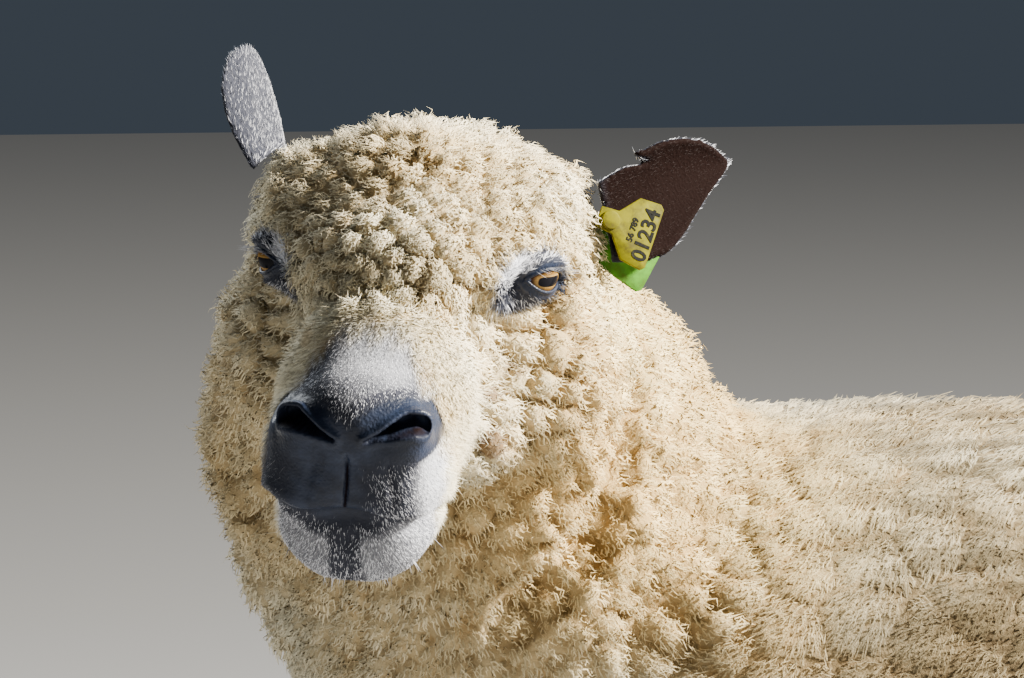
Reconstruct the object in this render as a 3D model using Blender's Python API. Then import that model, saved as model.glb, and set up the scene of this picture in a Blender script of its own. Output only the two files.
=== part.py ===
# A standing sheep of a short, woolly down breed, life size, with its head turned to its left.
# The outer shape of the fleece is modelled whole, from overlapping masses fused into one body,
# and is then parted with thin cuts into head, neck, trunk, tail and legs. Ears, eyes, hooves,
# dewclaws and the ear tag are solids of their own.
# Metres, +Z up. The sheep faces -X, so its left side is -Y. The floor is z = 0.

import math

import bmesh
import bpy
from mathutils import Matrix, Vector

# ---------------------------------------------------------------- driving dimensions
BACK_HEIGHT = 0.660        # floor to the top of the fleece along the back
BELLY_HEIGHT = 0.282       # floor to the fleece under the belly
BARREL_WIDTH = 0.410       # across the ribs, fleece included
CHEST_X = -0.480           # front of the breast
RUMP_X = 0.425             # back of the rump, in front of the tail
FORE_X, HIND_X = -0.300, 0.270        # where the feet stand
FORE_TRACK, HIND_TRACK = 0.104, 0.110  # half the distance between left and right legs

# The head's own frame has its origin midway between the eyes, with X towards the nose,
# Y to the animal's left and Z up. Sizes below that are given in it are in millimetres.
BROW = Vector((-0.482, -0.200, 0.731))
HEAD_HEADING = math.radians(-114.4)    # 24 degrees short of looking square to its left
HEAD_PITCH = math.radians(26.0)        # nose below the level
HEAD_ROLL = math.radians(-3.5)
MM = 0.001

GAP = 0.0005               # left by each thin cut
FIT_GAP = 0.0004           # around a solid that sits in another
FINE_VOXEL = 0.0042
TARGET_TRIANGLES = 5300    # of the fused body

EYE_RADIUS = 14.5
EYE_CENTRE = Vector((-3.0, 54.5, 1.5))
EYE_GAZE = Vector((0.62, 0.78, 0.08))

EAR_THICKNESS = 4.0

HOOF_LENGTH = 0.060
CLAW_WIDTH = 0.0265
CORONET_HEIGHT = 0.033

HEAD = (
    Matrix.Translation(BROW)
    @ Matrix.Rotation(HEAD_HEADING, 4, "Z")
    @ Matrix.Rotation(HEAD_PITCH, 4, "Y")
    @ Matrix.Rotation(HEAD_ROLL, 4, "X")
    @ Matrix.Scale(MM, 4)
)


# ---------------------------------------------------------------- materials
def material(name, colour, roughness, metallic=0.0):
    made = bpy.data.materials.new(name)
    made.use_nodes = True
    shader = made.node_tree.nodes["Principled BSDF"]
    shader.inputs["Base Color"].default_value = (*colour, 1.0)
    shader.inputs["Roughness"].default_value = roughness
    shader.inputs["Metallic"].default_value = metallic
    return made


def make_materials():
    return {
        "fleece": material("fleece", (0.72, 0.63, 0.49), 0.95),
        "short_hair": material("short_hair", (0.30, 0.27, 0.25), 0.85),
        "ear_skin": material("ear_skin", (0.16, 0.13, 0.13), 0.75),
        "eye": material("eye", (0.55, 0.30, 0.08), 0.10),
        "hoof": material("hoof", (0.10, 0.09, 0.08), 0.55),
        "tag_plastic": material("tag_plastic", (0.80, 0.72, 0.05), 0.40),
    }


# ---------------------------------------------------------------- mesh helpers
def clear_scene():
    for old in list(bpy.data.objects):
        bpy.data.objects.remove(old)


def object_from(bm, name, finish=None):
    bmesh.ops.recalc_face_normals(bm, faces=bm.faces)
    mesh = bpy.data.meshes.new(name)
    bm.to_mesh(mesh)
    bm.free()
    mesh.shade_smooth()
    made = bpy.data.objects.new(name, mesh)
    bpy.context.scene.collection.objects.link(made)
    if finish:
        mesh.materials.append(finish)
    return made


def evaluated_mesh(obj, name):
    graph = bpy.context.evaluated_depsgraph_get()
    graph.update()
    return bpy.data.meshes.new_from_object(obj.evaluated_get(graph), depsgraph=graph)


def apply_modifiers(obj):
    """Replaces the object's mesh by its evaluated one."""
    mesh = evaluated_mesh(obj, obj.name)
    obj.modifiers.clear()
    obj.data = mesh


def add_ellipsoid(bm, centre, radii, frame=None, fineness=3):
    shape = Matrix.Translation(Vector(centre)) @ Matrix.Diagonal((*radii, 1.0))
    bmesh.ops.create_icosphere(bm, subdivisions=fineness, radius=1.0, matrix=(frame or Matrix()) @ shape)


def add_loft(bm, rings):
    """Skins a list of point rings of equal count, and closes both ends."""
    loops = [[bm.verts.new(point) for point in ring] for ring in rings]
    count = len(loops[0])
    for near, far in zip(loops, loops[1:]):
        for i in range(count):
            j = (i + 1) % count
            bm.faces.new((near[i], near[j], far[j], far[i]))
    for loop, turn in ((loops[0], -1), (loops[-1], 1)):
        middle = bm.verts.new(sum((v.co for v in loop), Vector()) / count)
        for i in range(count):
            pair = (loop[i], loop[(i + 1) % count])
            bm.faces.new((*pair[::turn], middle))


def oval_ring(centre, side, up, half_width, rise, drop, squareness=2.3, count=20):
    """Points of a rounded oval, wider than an ellipse's corners when squareness is over 2."""
    ring = []
    for i in range(count):
        angle = 2 * math.pi * i / count
        c, s = math.cos(angle), math.sin(angle)
        across = math.copysign(abs(c) ** (2 / squareness), c) * half_width
        along = math.copysign(abs(s) ** (2 / squareness), s) * (rise if s > 0 else drop)
        ring.append(centre + side * across + up * along)
    return ring


def tube_rings(spine, count=14):
    """Round rings along a spine of (point, radius) pairs, each square to the spine there."""
    points = [Vector(p) for p, _ in spine]
    rings = []
    for i, (_, radius) in enumerate(spine):
        ahead = points[min(i + 1, len(points) - 1)] - points[max(i - 1, 0)]
        along = ahead.normalized()
        side = along.orthogonal().normalized() if abs(along.y) > 0.9 else along.cross(Vector((0, 1, 0)))
        side.normalize()
        up = side.cross(along)
        rings.append(oval_ring(points[i], side, up, radius, radius, radius, 2.0, count))
    return rings


def mirrored(point, side):
    return Vector((point[0], point[1] * side, point[2]))


# ---------------------------------------------------------------- the fleeced body
def add_trunk(bm):
    """Rings from breast to rump: where along X, and the share of the full height and width there."""
    middle = (BACK_HEIGHT + BELLY_HEIGHT) / 2
    half_height = (BACK_HEIGHT - BELLY_HEIGHT) / 2
    half_width = BARREL_WIDTH / 2
    length = RUMP_X - CHEST_X
    stations = (
        # share of length, height share, width share, lift of the middle
        (0.000, 0.30, 0.28, 0.020),
        (0.030, 0.58, 0.52, 0.016),
        (0.085, 0.80, 0.72, 0.010),
        (0.180, 0.95, 0.88, 0.004),
        (0.320, 1.00, 0.97, 0.000),
        (0.500, 1.00, 1.00, -0.006),
        (0.660, 0.99, 1.00, -0.002),
        (0.790, 0.93, 0.96, 0.010),
        (0.885, 0.82, 0.88, 0.024),
        (0.955, 0.62, 0.70, 0.030),
        (1.000, 0.34, 0.42, 0.030),
    )
    rings = []
    for share, tall, wide, lift in stations:
        centre = Vector((CHEST_X + share * length, 0, middle + lift))
        height = half_height * tall
        rings.append(oval_ring(centre, Vector((0, 1, 0)), Vector((0, 0, 1)),
                               half_width * wide, height, height, 2.35, 32))
    add_loft(bm, rings)


def add_limb_masses(bm):
    """Shoulders, thighs and the breast, which round the trunk out."""
    for side in (-1, 1):
        add_ellipsoid(bm, (-0.285, 0.110 * side, 0.420), (0.120, 0.092, 0.165))
        add_ellipsoid(bm, (0.262, 0.108 * side, 0.432), (0.142, 0.095, 0.170))
    add_ellipsoid(bm, (-0.385, 0.000, 0.450), (0.105, 0.145, 0.140))
    add_ellipsoid(bm, (-0.435, -0.030, 0.560), (0.082, 0.125, 0.110))


NECK = (
    # point on the neck's middle line, radius
    ((-0.290, 0.000, 0.495), 0.140), ((-0.335, -0.008, 0.524), 0.138), ((-0.374, -0.028, 0.560), 0.132),
    ((-0.407, -0.058, 0.602), 0.123), ((-0.434, -0.090, 0.648), 0.112), ((-0.452, -0.122, 0.690), 0.098),
)


def add_neck(bm):
    """A short thick neck that rises from the breast and bends round to the left behind the head."""
    add_loft(bm, tube_rings(NECK, 24))


FORE_LEG = (
    # x from the foot, height, radius; the wool ends at the knee
    (0.030, 0.360, 0.062), (0.018, 0.300, 0.058), (0.004, 0.245, 0.047), (-0.003, 0.212, 0.037),
    (-0.006, 0.188, 0.030), (-0.003, 0.160, 0.0225), (0.000, 0.120, 0.0180), (0.001, 0.092, 0.0195),
    (-0.001, 0.074, 0.0235), (-0.012, 0.054, 0.0210), (-0.022, 0.038, 0.0250), (-0.030, 0.012, 0.0240),
)
HIND_LEG = (
    (-0.030, 0.400, 0.098), (-0.025, 0.335, 0.082), (0.000, 0.285, 0.060), (0.026, 0.245, 0.043),
    (0.040, 0.218, 0.034), (0.037, 0.190, 0.0270), (0.031, 0.150, 0.0205), (0.026, 0.110, 0.0195),
    (0.023, 0.080, 0.0240), (0.010, 0.058, 0.0215), (-0.001, 0.040, 0.0250), (-0.010, 0.012, 0.0240),
)


def leg_spine(profile, foot_x, track, side):
    """Points down a leg. The legs stand a little closer together at the top."""
    return [((foot_x + x, side * (track - 0.012 * z / 0.4 + 0.012), z), r) for x, z, r in profile]


def add_legs(bm):
    for side in (-1, 1):
        add_loft(bm, tube_rings(leg_spine(FORE_LEG, FORE_X, FORE_TRACK, side)))
        add_loft(bm, tube_rings(leg_spine(HIND_LEG, HIND_X, HIND_TRACK, side)))
        hock_y = side * (HIND_TRACK + 0.006)
        add_ellipsoid(bm, (HIND_X + 0.058, hock_y, 0.232), (0.020, 0.014, 0.022), fineness=2)


def add_tail(bm):
    """A docked tail, a short woolly stub."""
    spine = (
        ((RUMP_X - 0.060, 0, 0.590), 0.034), ((RUMP_X - 0.002, 0, 0.575), 0.038),
        ((RUMP_X + 0.022, 0, 0.535), 0.036), ((RUMP_X + 0.026, 0, 0.490), 0.031),
        ((RUMP_X + 0.022, 0, 0.462), 0.020),
    )
    add_loft(bm, tube_rings(spine))


# ---------------------------------------------------------------- the head
FACE = (
    # along the head, half width, top, bottom; all in millimetres
    (-75, 46, 34, -74), (-40, 56, 42, -92), (0, 56, 41, -98), (30, 50, 33, -99),
    (60, 44, 23, -98), (88, 40, 12, -94), (112, 36, 3, -88),
)
HEAD_MASSES = (
    # centre, radii; a second number other than 0 in the centre means one on each side
    ((-6, 47, 1), (30, 20, 25)),          # brows round the eyes
    ((62, 26, -34), (48, 24, 34)),        # cheek in front of the wool
    ((111, 0, -10), (29, 29, 18)),        # nose
    ((118, 22, -17), (21, 16, 16)),       # nostril wings
    ((119, 0, -26), (22, 27, 20)),        # between the nostrils
)
LIP_MASSES = (
    ((107, 22, -46), (35, 24, 23)),       # upper lips
    ((107, 22, -30), (31, 21, 22)),       # between the lips and the nostrils
    ((118, 0, -40), (25, 22, 20)),        # middle of the upper lip
    ((99, 10, -76), (37, 28, 25)),        # lower lip and chin
)
CHEW_SHIFT = Vector((0, -4, 0))           # the lips are carried a little to the right
WOOL_MASSES = (
    ((-36, 0, -2), (70, 76, 63)),         # topknot
    ((-34, 48, 1), (62, 43, 46)),         # its sides, over the ears' roots
    ((-95, 0, -48), (62, 74, 64)),        # nape
    ((8, 0, 12), (56, 60, 38)),           # forehead
    ((-25, 54, -62), (62, 54, 60)),       # cheeks
    ((26, 36, -60), (46, 30, 40)),        # wool behind the corner of the mouth
    ((-45, 52, -122), (66, 54, 76)),      # ruff under the cheeks
    ((-45, 0, -150), (70, 80, 78)),       # throat
)
RIGHT_RUFF_MASSES = (
    # the right side of the ruff is drawn out by the turn of the neck
    ((-52, -66, -128), (60, 60, 82)),
    ((-82, -52, -205), (60, 70, 72)),
)


def add_head(bm):
    rings = []
    for along, wide, top, bottom in FACE:
        centre = HEAD @ Vector((along, 0, (top + bottom) / 2))
        side = HEAD.to_3x3() @ Vector((0, 1, 0))
        up = HEAD.to_3x3() @ Vector((0, 0, 1))
        half = (top - bottom) / 2
        rings.append(oval_ring(centre, side, up, wide, half, half, 2.7, 24))
    add_loft(bm, rings)
    for centre, radii in HEAD_MASSES + WOOL_MASSES:
        for side in ((-1, 1) if centre[1] else (1,)):
            add_ellipsoid(bm, mirrored(centre, side), radii, HEAD)
    for centre, radii in LIP_MASSES:
        for side in ((-1, 1) if centre[1] else (1,)):
            add_ellipsoid(bm, mirrored(centre, side) + CHEW_SHIFT, radii, HEAD)
    for centre, radii in RIGHT_RUFF_MASSES:
        add_ellipsoid(bm, centre, radii, HEAD)


def in_head(point):
    """The same point in the head's own millimetres."""
    return HEAD.inverted() @ point


def eye_axes(side):
    """The way an eye looks, the way its slit runs and the way up across its lids."""
    gaze = mirrored(EYE_GAZE, side).normalized()
    slit = Vector((-gaze.y, gaze.x, 0.10 * side)).normalized() * side
    return gaze, slit, slit.cross(gaze).normalized() * -side


def clear_eye_patches(points):
    """Presses the wool back from round each eye, to where the bare lids lie."""
    inverse = HEAD.inverted()
    for side in (-1, 1):
        centre = mirrored(EYE_CENTRE, side)
        gaze, slit, up = eye_axes(side)
        for vertex in points:
            away = inverse @ vertex.co - centre
            depth = away.dot(gaze)
            spread = math.hypot(away.dot(slit) / 27, (away.dot(up) + 2) / 19)
            if depth < 0 or spread > 1:
                continue
            lid = 13.5 - 9 * spread * spread
            blend = max(0.0, (spread - 0.5) / 0.5) ** 2
            if depth > lid:
                vertex.co = HEAD @ (centre + away + gaze * (lid - depth) * (1 - blend))


def plainness(point):
    """0 on the bare face, 1 on the trunk: how far the surface may be thinned."""
    local = in_head(point)
    away = (local - Vector((60, 0, -30))).length
    if away < 190:
        return max(0.35, min(0.97, (away - 20) / 110))
    return 0.80 if point.z < 0.26 else 1.0


def smoothed(body, rounds, group=""):
    smooth = body.modifiers.new("smooth", "SMOOTH")
    smooth.factor = 0.5
    smooth.iterations = rounds
    smooth.vertex_group = group
    apply_modifiers(body)


def fuse_body():
    """All the masses as one closed surface, smoothed, then thinned most where it is plainest."""
    bm = bmesh.new()
    for add in (add_trunk, add_limb_masses, add_neck, add_legs, add_tail, add_head):
        add(bm)
    body = object_from(bm, "whole_body")
    remesh = body.modifiers.new("fuse", "REMESH")
    remesh.mode = "VOXEL"
    remesh.voxel_size = FINE_VOXEL
    apply_modifiers(body)

    broad = body.vertex_groups.new(name="broad")
    for vertex in body.data.vertices:
        local = in_head(vertex.co)
        on_legs = 1.0 if vertex.co.z < 0.27 else 0.0
        on_face = 1.0 if local.x > 25 else max(0.0, min(1.0, (local.x + 15) / 40))
        near = on_face if (local - Vector((20, 0, -30))).length < 190 else 0.0
        broad.add([vertex.index], 1.0 - max(on_legs, near), "REPLACE")
    smoothed(body, 55, "broad")
    smoothed(body, 5)
    clear_eye_patches(body.data.vertices)
    smoothed(body, 4)
    plain = body.vertex_groups.new(name="plain")
    for vertex in body.data.vertices:
        plain.add([vertex.index], plainness(vertex.co), "REPLACE")
    thin = body.modifiers.new("thin", "DECIMATE")
    thin.ratio = TARGET_TRIANGLES / (2 * len(body.data.polygons))
    thin.vertex_group = "plain"
    thin.vertex_group_factor = 3.0
    apply_modifiers(body)
    body.hide_render = True
    body.display_type = "WIRE"
    return body


def parted(whole, name, planes, keep_near, finish):
    """The piece of the whole that lies on the inner side of every plane and holds the given point.
    A plane is (point, outward normal), and the piece stops half a gap short of it."""
    bm = bmesh.new()
    bm.from_mesh(whole.data)
    for point, outward in planes:
        direction = Vector(outward).normalized()
        cut = bmesh.ops.bisect_plane(
            bm, geom=bm.verts[:] + bm.edges[:] + bm.faces[:], dist=1e-7,
            plane_co=Vector(point) - direction * GAP / 2, plane_no=direction, clear_outer=True)
        rim = [item for item in cut["geom_cut"] if isinstance(item, bmesh.types.BMEdge)]
        bmesh.ops.triangle_fill(bm, edges=rim, use_beauty=True, use_dissolve=False)
    start = min(bm.verts, key=lambda vertex: (vertex.co - Vector(keep_near)).length)
    kept, todo = {start}, [start]
    while todo:
        for edge in todo.pop().link_edges:
            for vertex in edge.verts:
                if vertex not in kept:
                    kept.add(vertex)
                    todo.append(vertex)
    bmesh.ops.delete(bm, geom=[v for v in bm.verts if v not in kept], context="VERTS")
    return object_from(bm, name, finish)


# ---------------------------------------------------------------- pieces that sit in others
def cut_away(target, cutter):
    """Takes a cutter's shape out of the target, at once."""
    cut = target.modifiers.new("cut", "BOOLEAN")
    cut.object = cutter
    cut.solver = "EXACT"
    apply_modifiers(target)
    cutter.hide_render = True
    cutter.display_type = "WIRE"


def swollen_copy(source, name, amount):
    """A copy pushed out along its normals, to cut a neighbour back to a small gap."""
    bm = bmesh.new()
    bm.from_mesh(source.data)
    bmesh.ops.remove_doubles(bm, verts=bm.verts, dist=1e-6)
    bm.normal_update()
    for vertex, normal in [(v, v.normal.copy()) for v in bm.verts]:
        vertex.co += normal * amount
    return object_from(bm, name)


def ball_in_head(name, frame, radii, finish=None, segments=14, rings=9):
    bm = bmesh.new()
    shape = HEAD @ frame @ Matrix.Diagonal((*radii, 1))
    bmesh.ops.create_uvsphere(bm, u_segments=segments, v_segments=rings, radius=1.0, matrix=shape)
    return object_from(bm, name, finish)


def make_eye(side, head, finish):
    """An eyeball in a socket that opens as an almond between the lids."""
    word = "left" if side > 0 else "right"
    gaze, slit, up = eye_axes(side)
    place = Matrix.Translation(mirrored(EYE_CENTRE, side)) @ Matrix((slit, up, gaze)).transposed().to_4x4()
    socket = EYE_RADIUS + FIT_GAP / MM
    cut_away(head, ball_in_head(f"socket_{word}", place, (socket,) * 3))
    opening = place @ Matrix.Translation((0, 0, 13))
    cut_away(head, ball_in_head(f"lids_{word}", opening, (12.5, 7.4, 11)))
    return ball_in_head(f"eye_{word}", place, (EYE_RADIUS,) * 3, finish)


def cut_nostrils(head):
    """A slanting hollow on each side of the nose, its outer end the higher."""
    for side in (-1, 1):
        place = Matrix.Translation(mirrored((136, 22.5, -14), side))
        lean = Matrix.Rotation(math.radians(14 * side), 4, "X")
        cut_away(head, ball_in_head("nostril", place @ lean, (15, 11.0, 5.2), None, 12, 8))


LEFT_LEAF = (
    # share of the ear's length, width above its middle line, width below it
    (0.00, 13, 15), (0.16, 17, 25), (0.32, 22, 31), (0.48, 28, 30), (0.62, 30, 25),
    (0.75, 27, 19), (0.86, 21, 13), (0.94, 13, 8), (0.985, 6, 4), (1.00, 2, 2),
)
RIGHT_LEAF = (
    (0.00, 13, 14), (0.16, 19, 20), (0.32, 25, 25), (0.48, 28, 27), (0.62, 27, 26),
    (0.75, 23, 22), (0.86, 18, 17), (0.94, 12, 11), (0.985, 6, 6), (1.00, 2, 2),
)


def make_ear(word, frame, length, leaf, curl, sweep, finish):
    """A cupped leaf. It grows along its own X, opens towards its own Z and has its upper margin
    on the side of its own Y. curl is how far the margins bend round at the base, in degrees, and
    sweep how far the tip is carried back."""
    across = 8
    inner, outer = [], []
    for share, above, below in leaf:
        bend = math.radians(curl * (1 - 0.55 * share))
        radius = (above + below) / 2 / bend
        thick = EAR_THICKNESS * (1.30 - 0.65 * share)
        for j in range(across + 1):
            arc = -below + (above + below) * j / across
            angle = arc / radius
            cup = 0.42 if arc < 0 else 1.0
            for row, r in ((inner, -thick / 2), (outer, thick / 2)):
                rise = radius * (1 - math.cos(angle)) * cup - r * math.cos(angle)
                row.append(frame @ Vector((length * share, (radius + r) * math.sin(angle),
                                           rise - sweep * share * share)))
    bm = bmesh.new()
    rings = []
    width = across + 1
    for i in range(len(leaf)):
        rings.append(inner[i * width:(i + 1) * width] + outer[i * width:(i + 1) * width][::-1])
    add_loft(bm, rings)
    return object_from(bm, f"ear_{word}", finish)


def notch_ear(ear, frame):
    """The upper margin of the left ear has an old notch, which leaves a narrow flap."""
    outline = ((4, 15), (24, 16.5), (40, 19.5), (60, 17.5), (47.5, 22.5), (45.5, 25.5), (46.5, 29), (46, 45), (4, 45))
    bm = bmesh.new()
    low = [bm.verts.new(frame @ Vector((x, y, -20))) for x, y in outline]
    high = [bm.verts.new(frame @ Vector((x, y, 40))) for x, y in outline]
    bm.faces.new(low[::-1])
    bm.faces.new(high)
    for i in range(len(outline)):
        j = (i + 1) % len(outline)
        bm.faces.new((low[i], low[j], high[j], high[i]))
    cut_away(ear, object_from(bm, "notch"))


def frame_from(origin, along, opening):
    """A frame at a point of the head, in its millimetres, with X along the ear and Z out of its cup."""
    x = Vector(along).normalized()
    z = Vector(opening)
    z = (z - x * z.dot(x)).normalized()
    y = z.cross(x)
    turn = Matrix((x, y, z)).transposed().to_4x4()
    return HEAD @ Matrix.Translation(Vector(origin)) @ turn


# Where each ear grows from, the way it points and the way its cup faces, in the head's frame.
LEFT_EAR = frame_from((-40, 68, 2), (-0.70, 0.71, 0.03), (0.60, 0.45, 0.45))
RIGHT_EAR = frame_from((-40, -69, 16), (-0.884, -0.372, 0.282), (0.08, -0.72, -0.69))
LEFT_EAR_LENGTH, RIGHT_EAR_LENGTH = 99.0, 93.0


# ---------------------------------------------------------------- the ear tag
TAG_PIN = Vector((20.0, -2.0, 0.0))      # in the left ear's frame
TAG_THICKNESS = 1.5
PIN_RADIUS = 2.4
FRONT_PLATE = ((-6, -5), (3, -6), (11, -16), (22, -17), (24, -15), (24, 15), (22, 17), (11, 16), (3, 6), (-6, 5))
BACK_PLATE = ((-6, -5), (4, -6), (14, -15), (36, -15), (38, -13), (38, 13), (36, 15), (14, 15), (4, 6), (-6, 5))


def tag_plate(name, outline, height, swing, tilt, finish):
    """A plate with cut corners and a narrow end at the pin. height is above the ear's middle,
    swing turns it about the pin and tilt lifts its far edge, both in degrees."""
    base = (LEFT_EAR @ Matrix.Translation(TAG_PIN + Vector((0, 0, height)))
            @ Matrix.Rotation(math.radians(swing), 4, "Z") @ Matrix.Rotation(math.radians(-tilt), 4, "Y"))
    bm = bmesh.new()
    low = [bm.verts.new(base @ Vector((x, y, 0))) for x, y in outline]
    high = [bm.verts.new(base @ Vector((x, y, TAG_THICKNESS))) for x, y in outline]
    bm.faces.new(low[::-1])
    bm.faces.new(high)
    for i in range(len(outline)):
        j = (i + 1) % len(outline)
        bm.faces.new((low[i], low[j], high[j], high[i]))
    return object_from(bm, name, finish)


def pin_shape(name, radius, low, high):
    bm = bmesh.new()
    place = LEFT_EAR @ Matrix.Translation(TAG_PIN + Vector((0, 0, (low + high) / 2)))
    bmesh.ops.create_cone(bm, cap_ends=True, segments=12, radius1=radius, radius2=radius,
                          depth=high - low, matrix=place)
    return object_from(bm, name)


def make_tag(ear, finish):
    """Two plates, one on each side of the left ear, and the pin of the front one between them."""
    cut_away(ear, pin_shape("pin_hole", PIN_RADIUS + 0.5, -20, 25))
    front = tag_plate("tag_front", FRONT_PLATE, 10.0, -42, 6, finish)
    join = front.modifiers.new("pin", "BOOLEAN")
    join.object = pin_shape("pin", PIN_RADIUS, -7.5, 12.0)
    join.operation = "UNION"
    join.solver = "EXACT"
    apply_modifiers(front)
    join_source = bpy.data.objects["pin"]
    join_source.hide_render = True
    join_source.display_type = "WIRE"
    return front, tag_plate("tag_back", BACK_PLATE, -9.5, -52, 0, finish)


# ---------------------------------------------------------------- feet
def coronet_plane(foot_x, foot_y):
    """The sloping plane where hair gives way to horn: its point and its normal, upwards."""
    return Vector((foot_x, foot_y, CORONET_HEIGHT)), Vector((0.30, 0, 1)).normalized()


def make_claw(name, foot_x, foot_y, side, finish):
    """One half of a cloven hoof. side is -1 or 1 from the cleft."""
    point, normal = coronet_plane(foot_x, foot_y)
    levels = ((0.0, 1.0), (0.003, 1.02), (0.014, 0.96), (None, 0.86))
    count = 12
    rings = []
    for height, share in levels:
        ring = []
        for i in range(count):
            angle = 2 * math.pi * (i + 0.5) / count
            c, s = math.cos(angle), math.sin(angle)
            z = 0.026 if height is None else height
            toe = 0.30 * z
            x = foot_x - 0.004 + HOOF_LENGTH / 2 * share * c + toe * (1.0 if c < 0 else 0.35)
            narrow = 1 - 0.30 * max(0.0, -c) ** 2
            y = foot_y + side * (CLAW_WIDTH / 2 + 0.0015) + CLAW_WIDTH / 2 * share * s * narrow
            y -= side * 0.0035 * max(0.0, -c) ** 2
            if height is None:
                z = point.z - (x - point.x) * normal.x / normal.z - GAP
            ring.append(Vector((x, y, z)))
        rings.append(ring)
    bm = bmesh.new()
    add_loft(bm, rings)
    for vertex in bm.verts:
        vertex.co.z = max(vertex.co.z, 0.0)
    return object_from(bm, name, finish)


def make_dewclaw(name, leg, x, y, z, finish):
    """A small blunt horn behind the fetlock, cut back to the leg it grows from."""
    bm = bmesh.new()
    turn = Matrix.Translation((x, y, z)) @ Matrix.Rotation(math.radians(128), 4, "Y")
    bmesh.ops.create_cone(bm, cap_ends=True, segments=8, radius1=0.0066, radius2=0.0034, depth=0.020, matrix=turn)
    claw = object_from(bm, name, finish)
    cut_away(claw, swollen_copy(leg, "leg_clearance", FIT_GAP))
    return claw


# ---------------------------------------------------------------- the whole animal
def part_body(whole, finishes):
    """Cuts the fused body into named pieces."""
    neck_top = HEAD @ Vector((-90, 0, -60))
    head_way = (HEAD.to_3x3() @ Vector((0.92, 0, -0.12))).normalized()
    neck_base, neck_way = Vector((-0.375, -0.010, 0.590)), Vector((-0.45, -0.22, 0.80))
    tail_root = Vector((RUMP_X + 0.004, 0, 0.5))
    fleece, hair = finishes["fleece"], finishes["short_hair"]

    pieces = {}
    pieces["head"] = parted(whole, "head", ((neck_top, -head_way), (neck_base, -neck_way)),
                            HEAD @ Vector((130, 0, -30)), fleece)
    pieces["neck"] = parted(whole, "neck", ((neck_top, head_way), (neck_base, -neck_way)),
                            (-0.340, -0.030, 0.690), fleece)
    leg_top = 0.250
    trunk_planes = ((neck_base, neck_way), ((0, 0, leg_top), (0, 0, -1)), (tail_root, (1, 0, 0)))
    pieces["trunk"] = parted(whole, "trunk", trunk_planes, (0, 0, BACK_HEIGHT), fleece)
    pieces["tail"] = parted(whole, "tail", ((tail_root, (-1, 0, 0)),), (RUMP_X + 0.05, 0, 0.5), fleece)
    for end, foot_x, track, foot_shift in (("fore", FORE_X, FORE_TRACK, -0.024), ("hind", HIND_X, HIND_TRACK, -0.003)):
        for word, side in (("left", -1), ("right", 1)):
            foot = (foot_x + foot_shift, side * (track + 0.011))
            point, normal = coronet_plane(*foot)
            name = f"leg_{end}_{word}"
            pieces[name] = parted(whole, name, (((0, 0, leg_top), (0, 0, 1)), (point, -normal)),
                                  (foot_x, foot[1], 0.12), hair)
            add_foot(end, word, foot, pieces[name], finishes)
    return pieces


def add_foot(end, word, foot, leg, finishes):
    for place, side in (("inner", 1), ("outer", -1)):
        outwards = side if word == "left" else -side
        make_claw(f"hoof_{end}_{word}_{place}", foot[0], foot[1], outwards, finishes["hoof"])
        make_dewclaw(f"dewclaw_{end}_{word}_{place}", leg, foot[0] + 0.050, foot[1] + outwards * 0.013,
                     0.066, finishes["hoof"])


def rest_on_origin():
    """Moves everything so that the origin is on the floor under the middle of the box."""
    shown = [o for o in bpy.data.objects if not o.hide_render]
    points = [v.co for o in shown for v in o.data.vertices]
    low = Vector(min(p[i] for p in points) for i in range(3))
    high = Vector(max(p[i] for p in points) for i in range(3))
    shift = Vector((-(low.x + high.x) / 2, -(low.y + high.y) / 2, -low.z))
    for o in shown:
        o.data.transform(Matrix.Translation(shift))


def main():
    clear_scene()
    finishes = make_materials()
    whole = fuse_body()
    pieces = part_body(whole, finishes)
    head = pieces["head"]
    clearance = swollen_copy(head, "head_clearance", FIT_GAP)
    neck_clearance = swollen_copy(pieces["neck"], "neck_clearance", FIT_GAP)
    cut_nostrils(head)
    make_eye(1, head, finishes["eye"])
    make_eye(-1, head, finishes["eye"])
    left = make_ear("left", LEFT_EAR, LEFT_EAR_LENGTH, LEFT_LEAF, 62, 6, finishes["ear_skin"])
    notch_ear(left, LEFT_EAR)
    plates = make_tag(left, finishes["tag_plastic"])
    right = make_ear("right", RIGHT_EAR, RIGHT_EAR_LENGTH, RIGHT_LEAF, 78, 4, finishes["ear_skin"])
    for ear in (left, right):
        cut_away(ear, clearance)
        cut_away(ear, neck_clearance)
    for plate in plates:
        cut_away(head, swollen_copy(plate, "tag_clearance", FIT_GAP))
    rest_on_origin()


main()
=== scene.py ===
# The looks of a standing sheep, life size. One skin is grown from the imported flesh, the face is shaped
# on it, and a coat of wool tufts and short hair is rooted in it. Eyes, hooves and the ear tag are their own.
# Metres, except where a note says millimetres. The sheep faces -X and its left side is -Y.
import math
from contextlib import contextmanager

import bpy
import numpy as np
from mathutils import Matrix, Vector, kdtree


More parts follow.
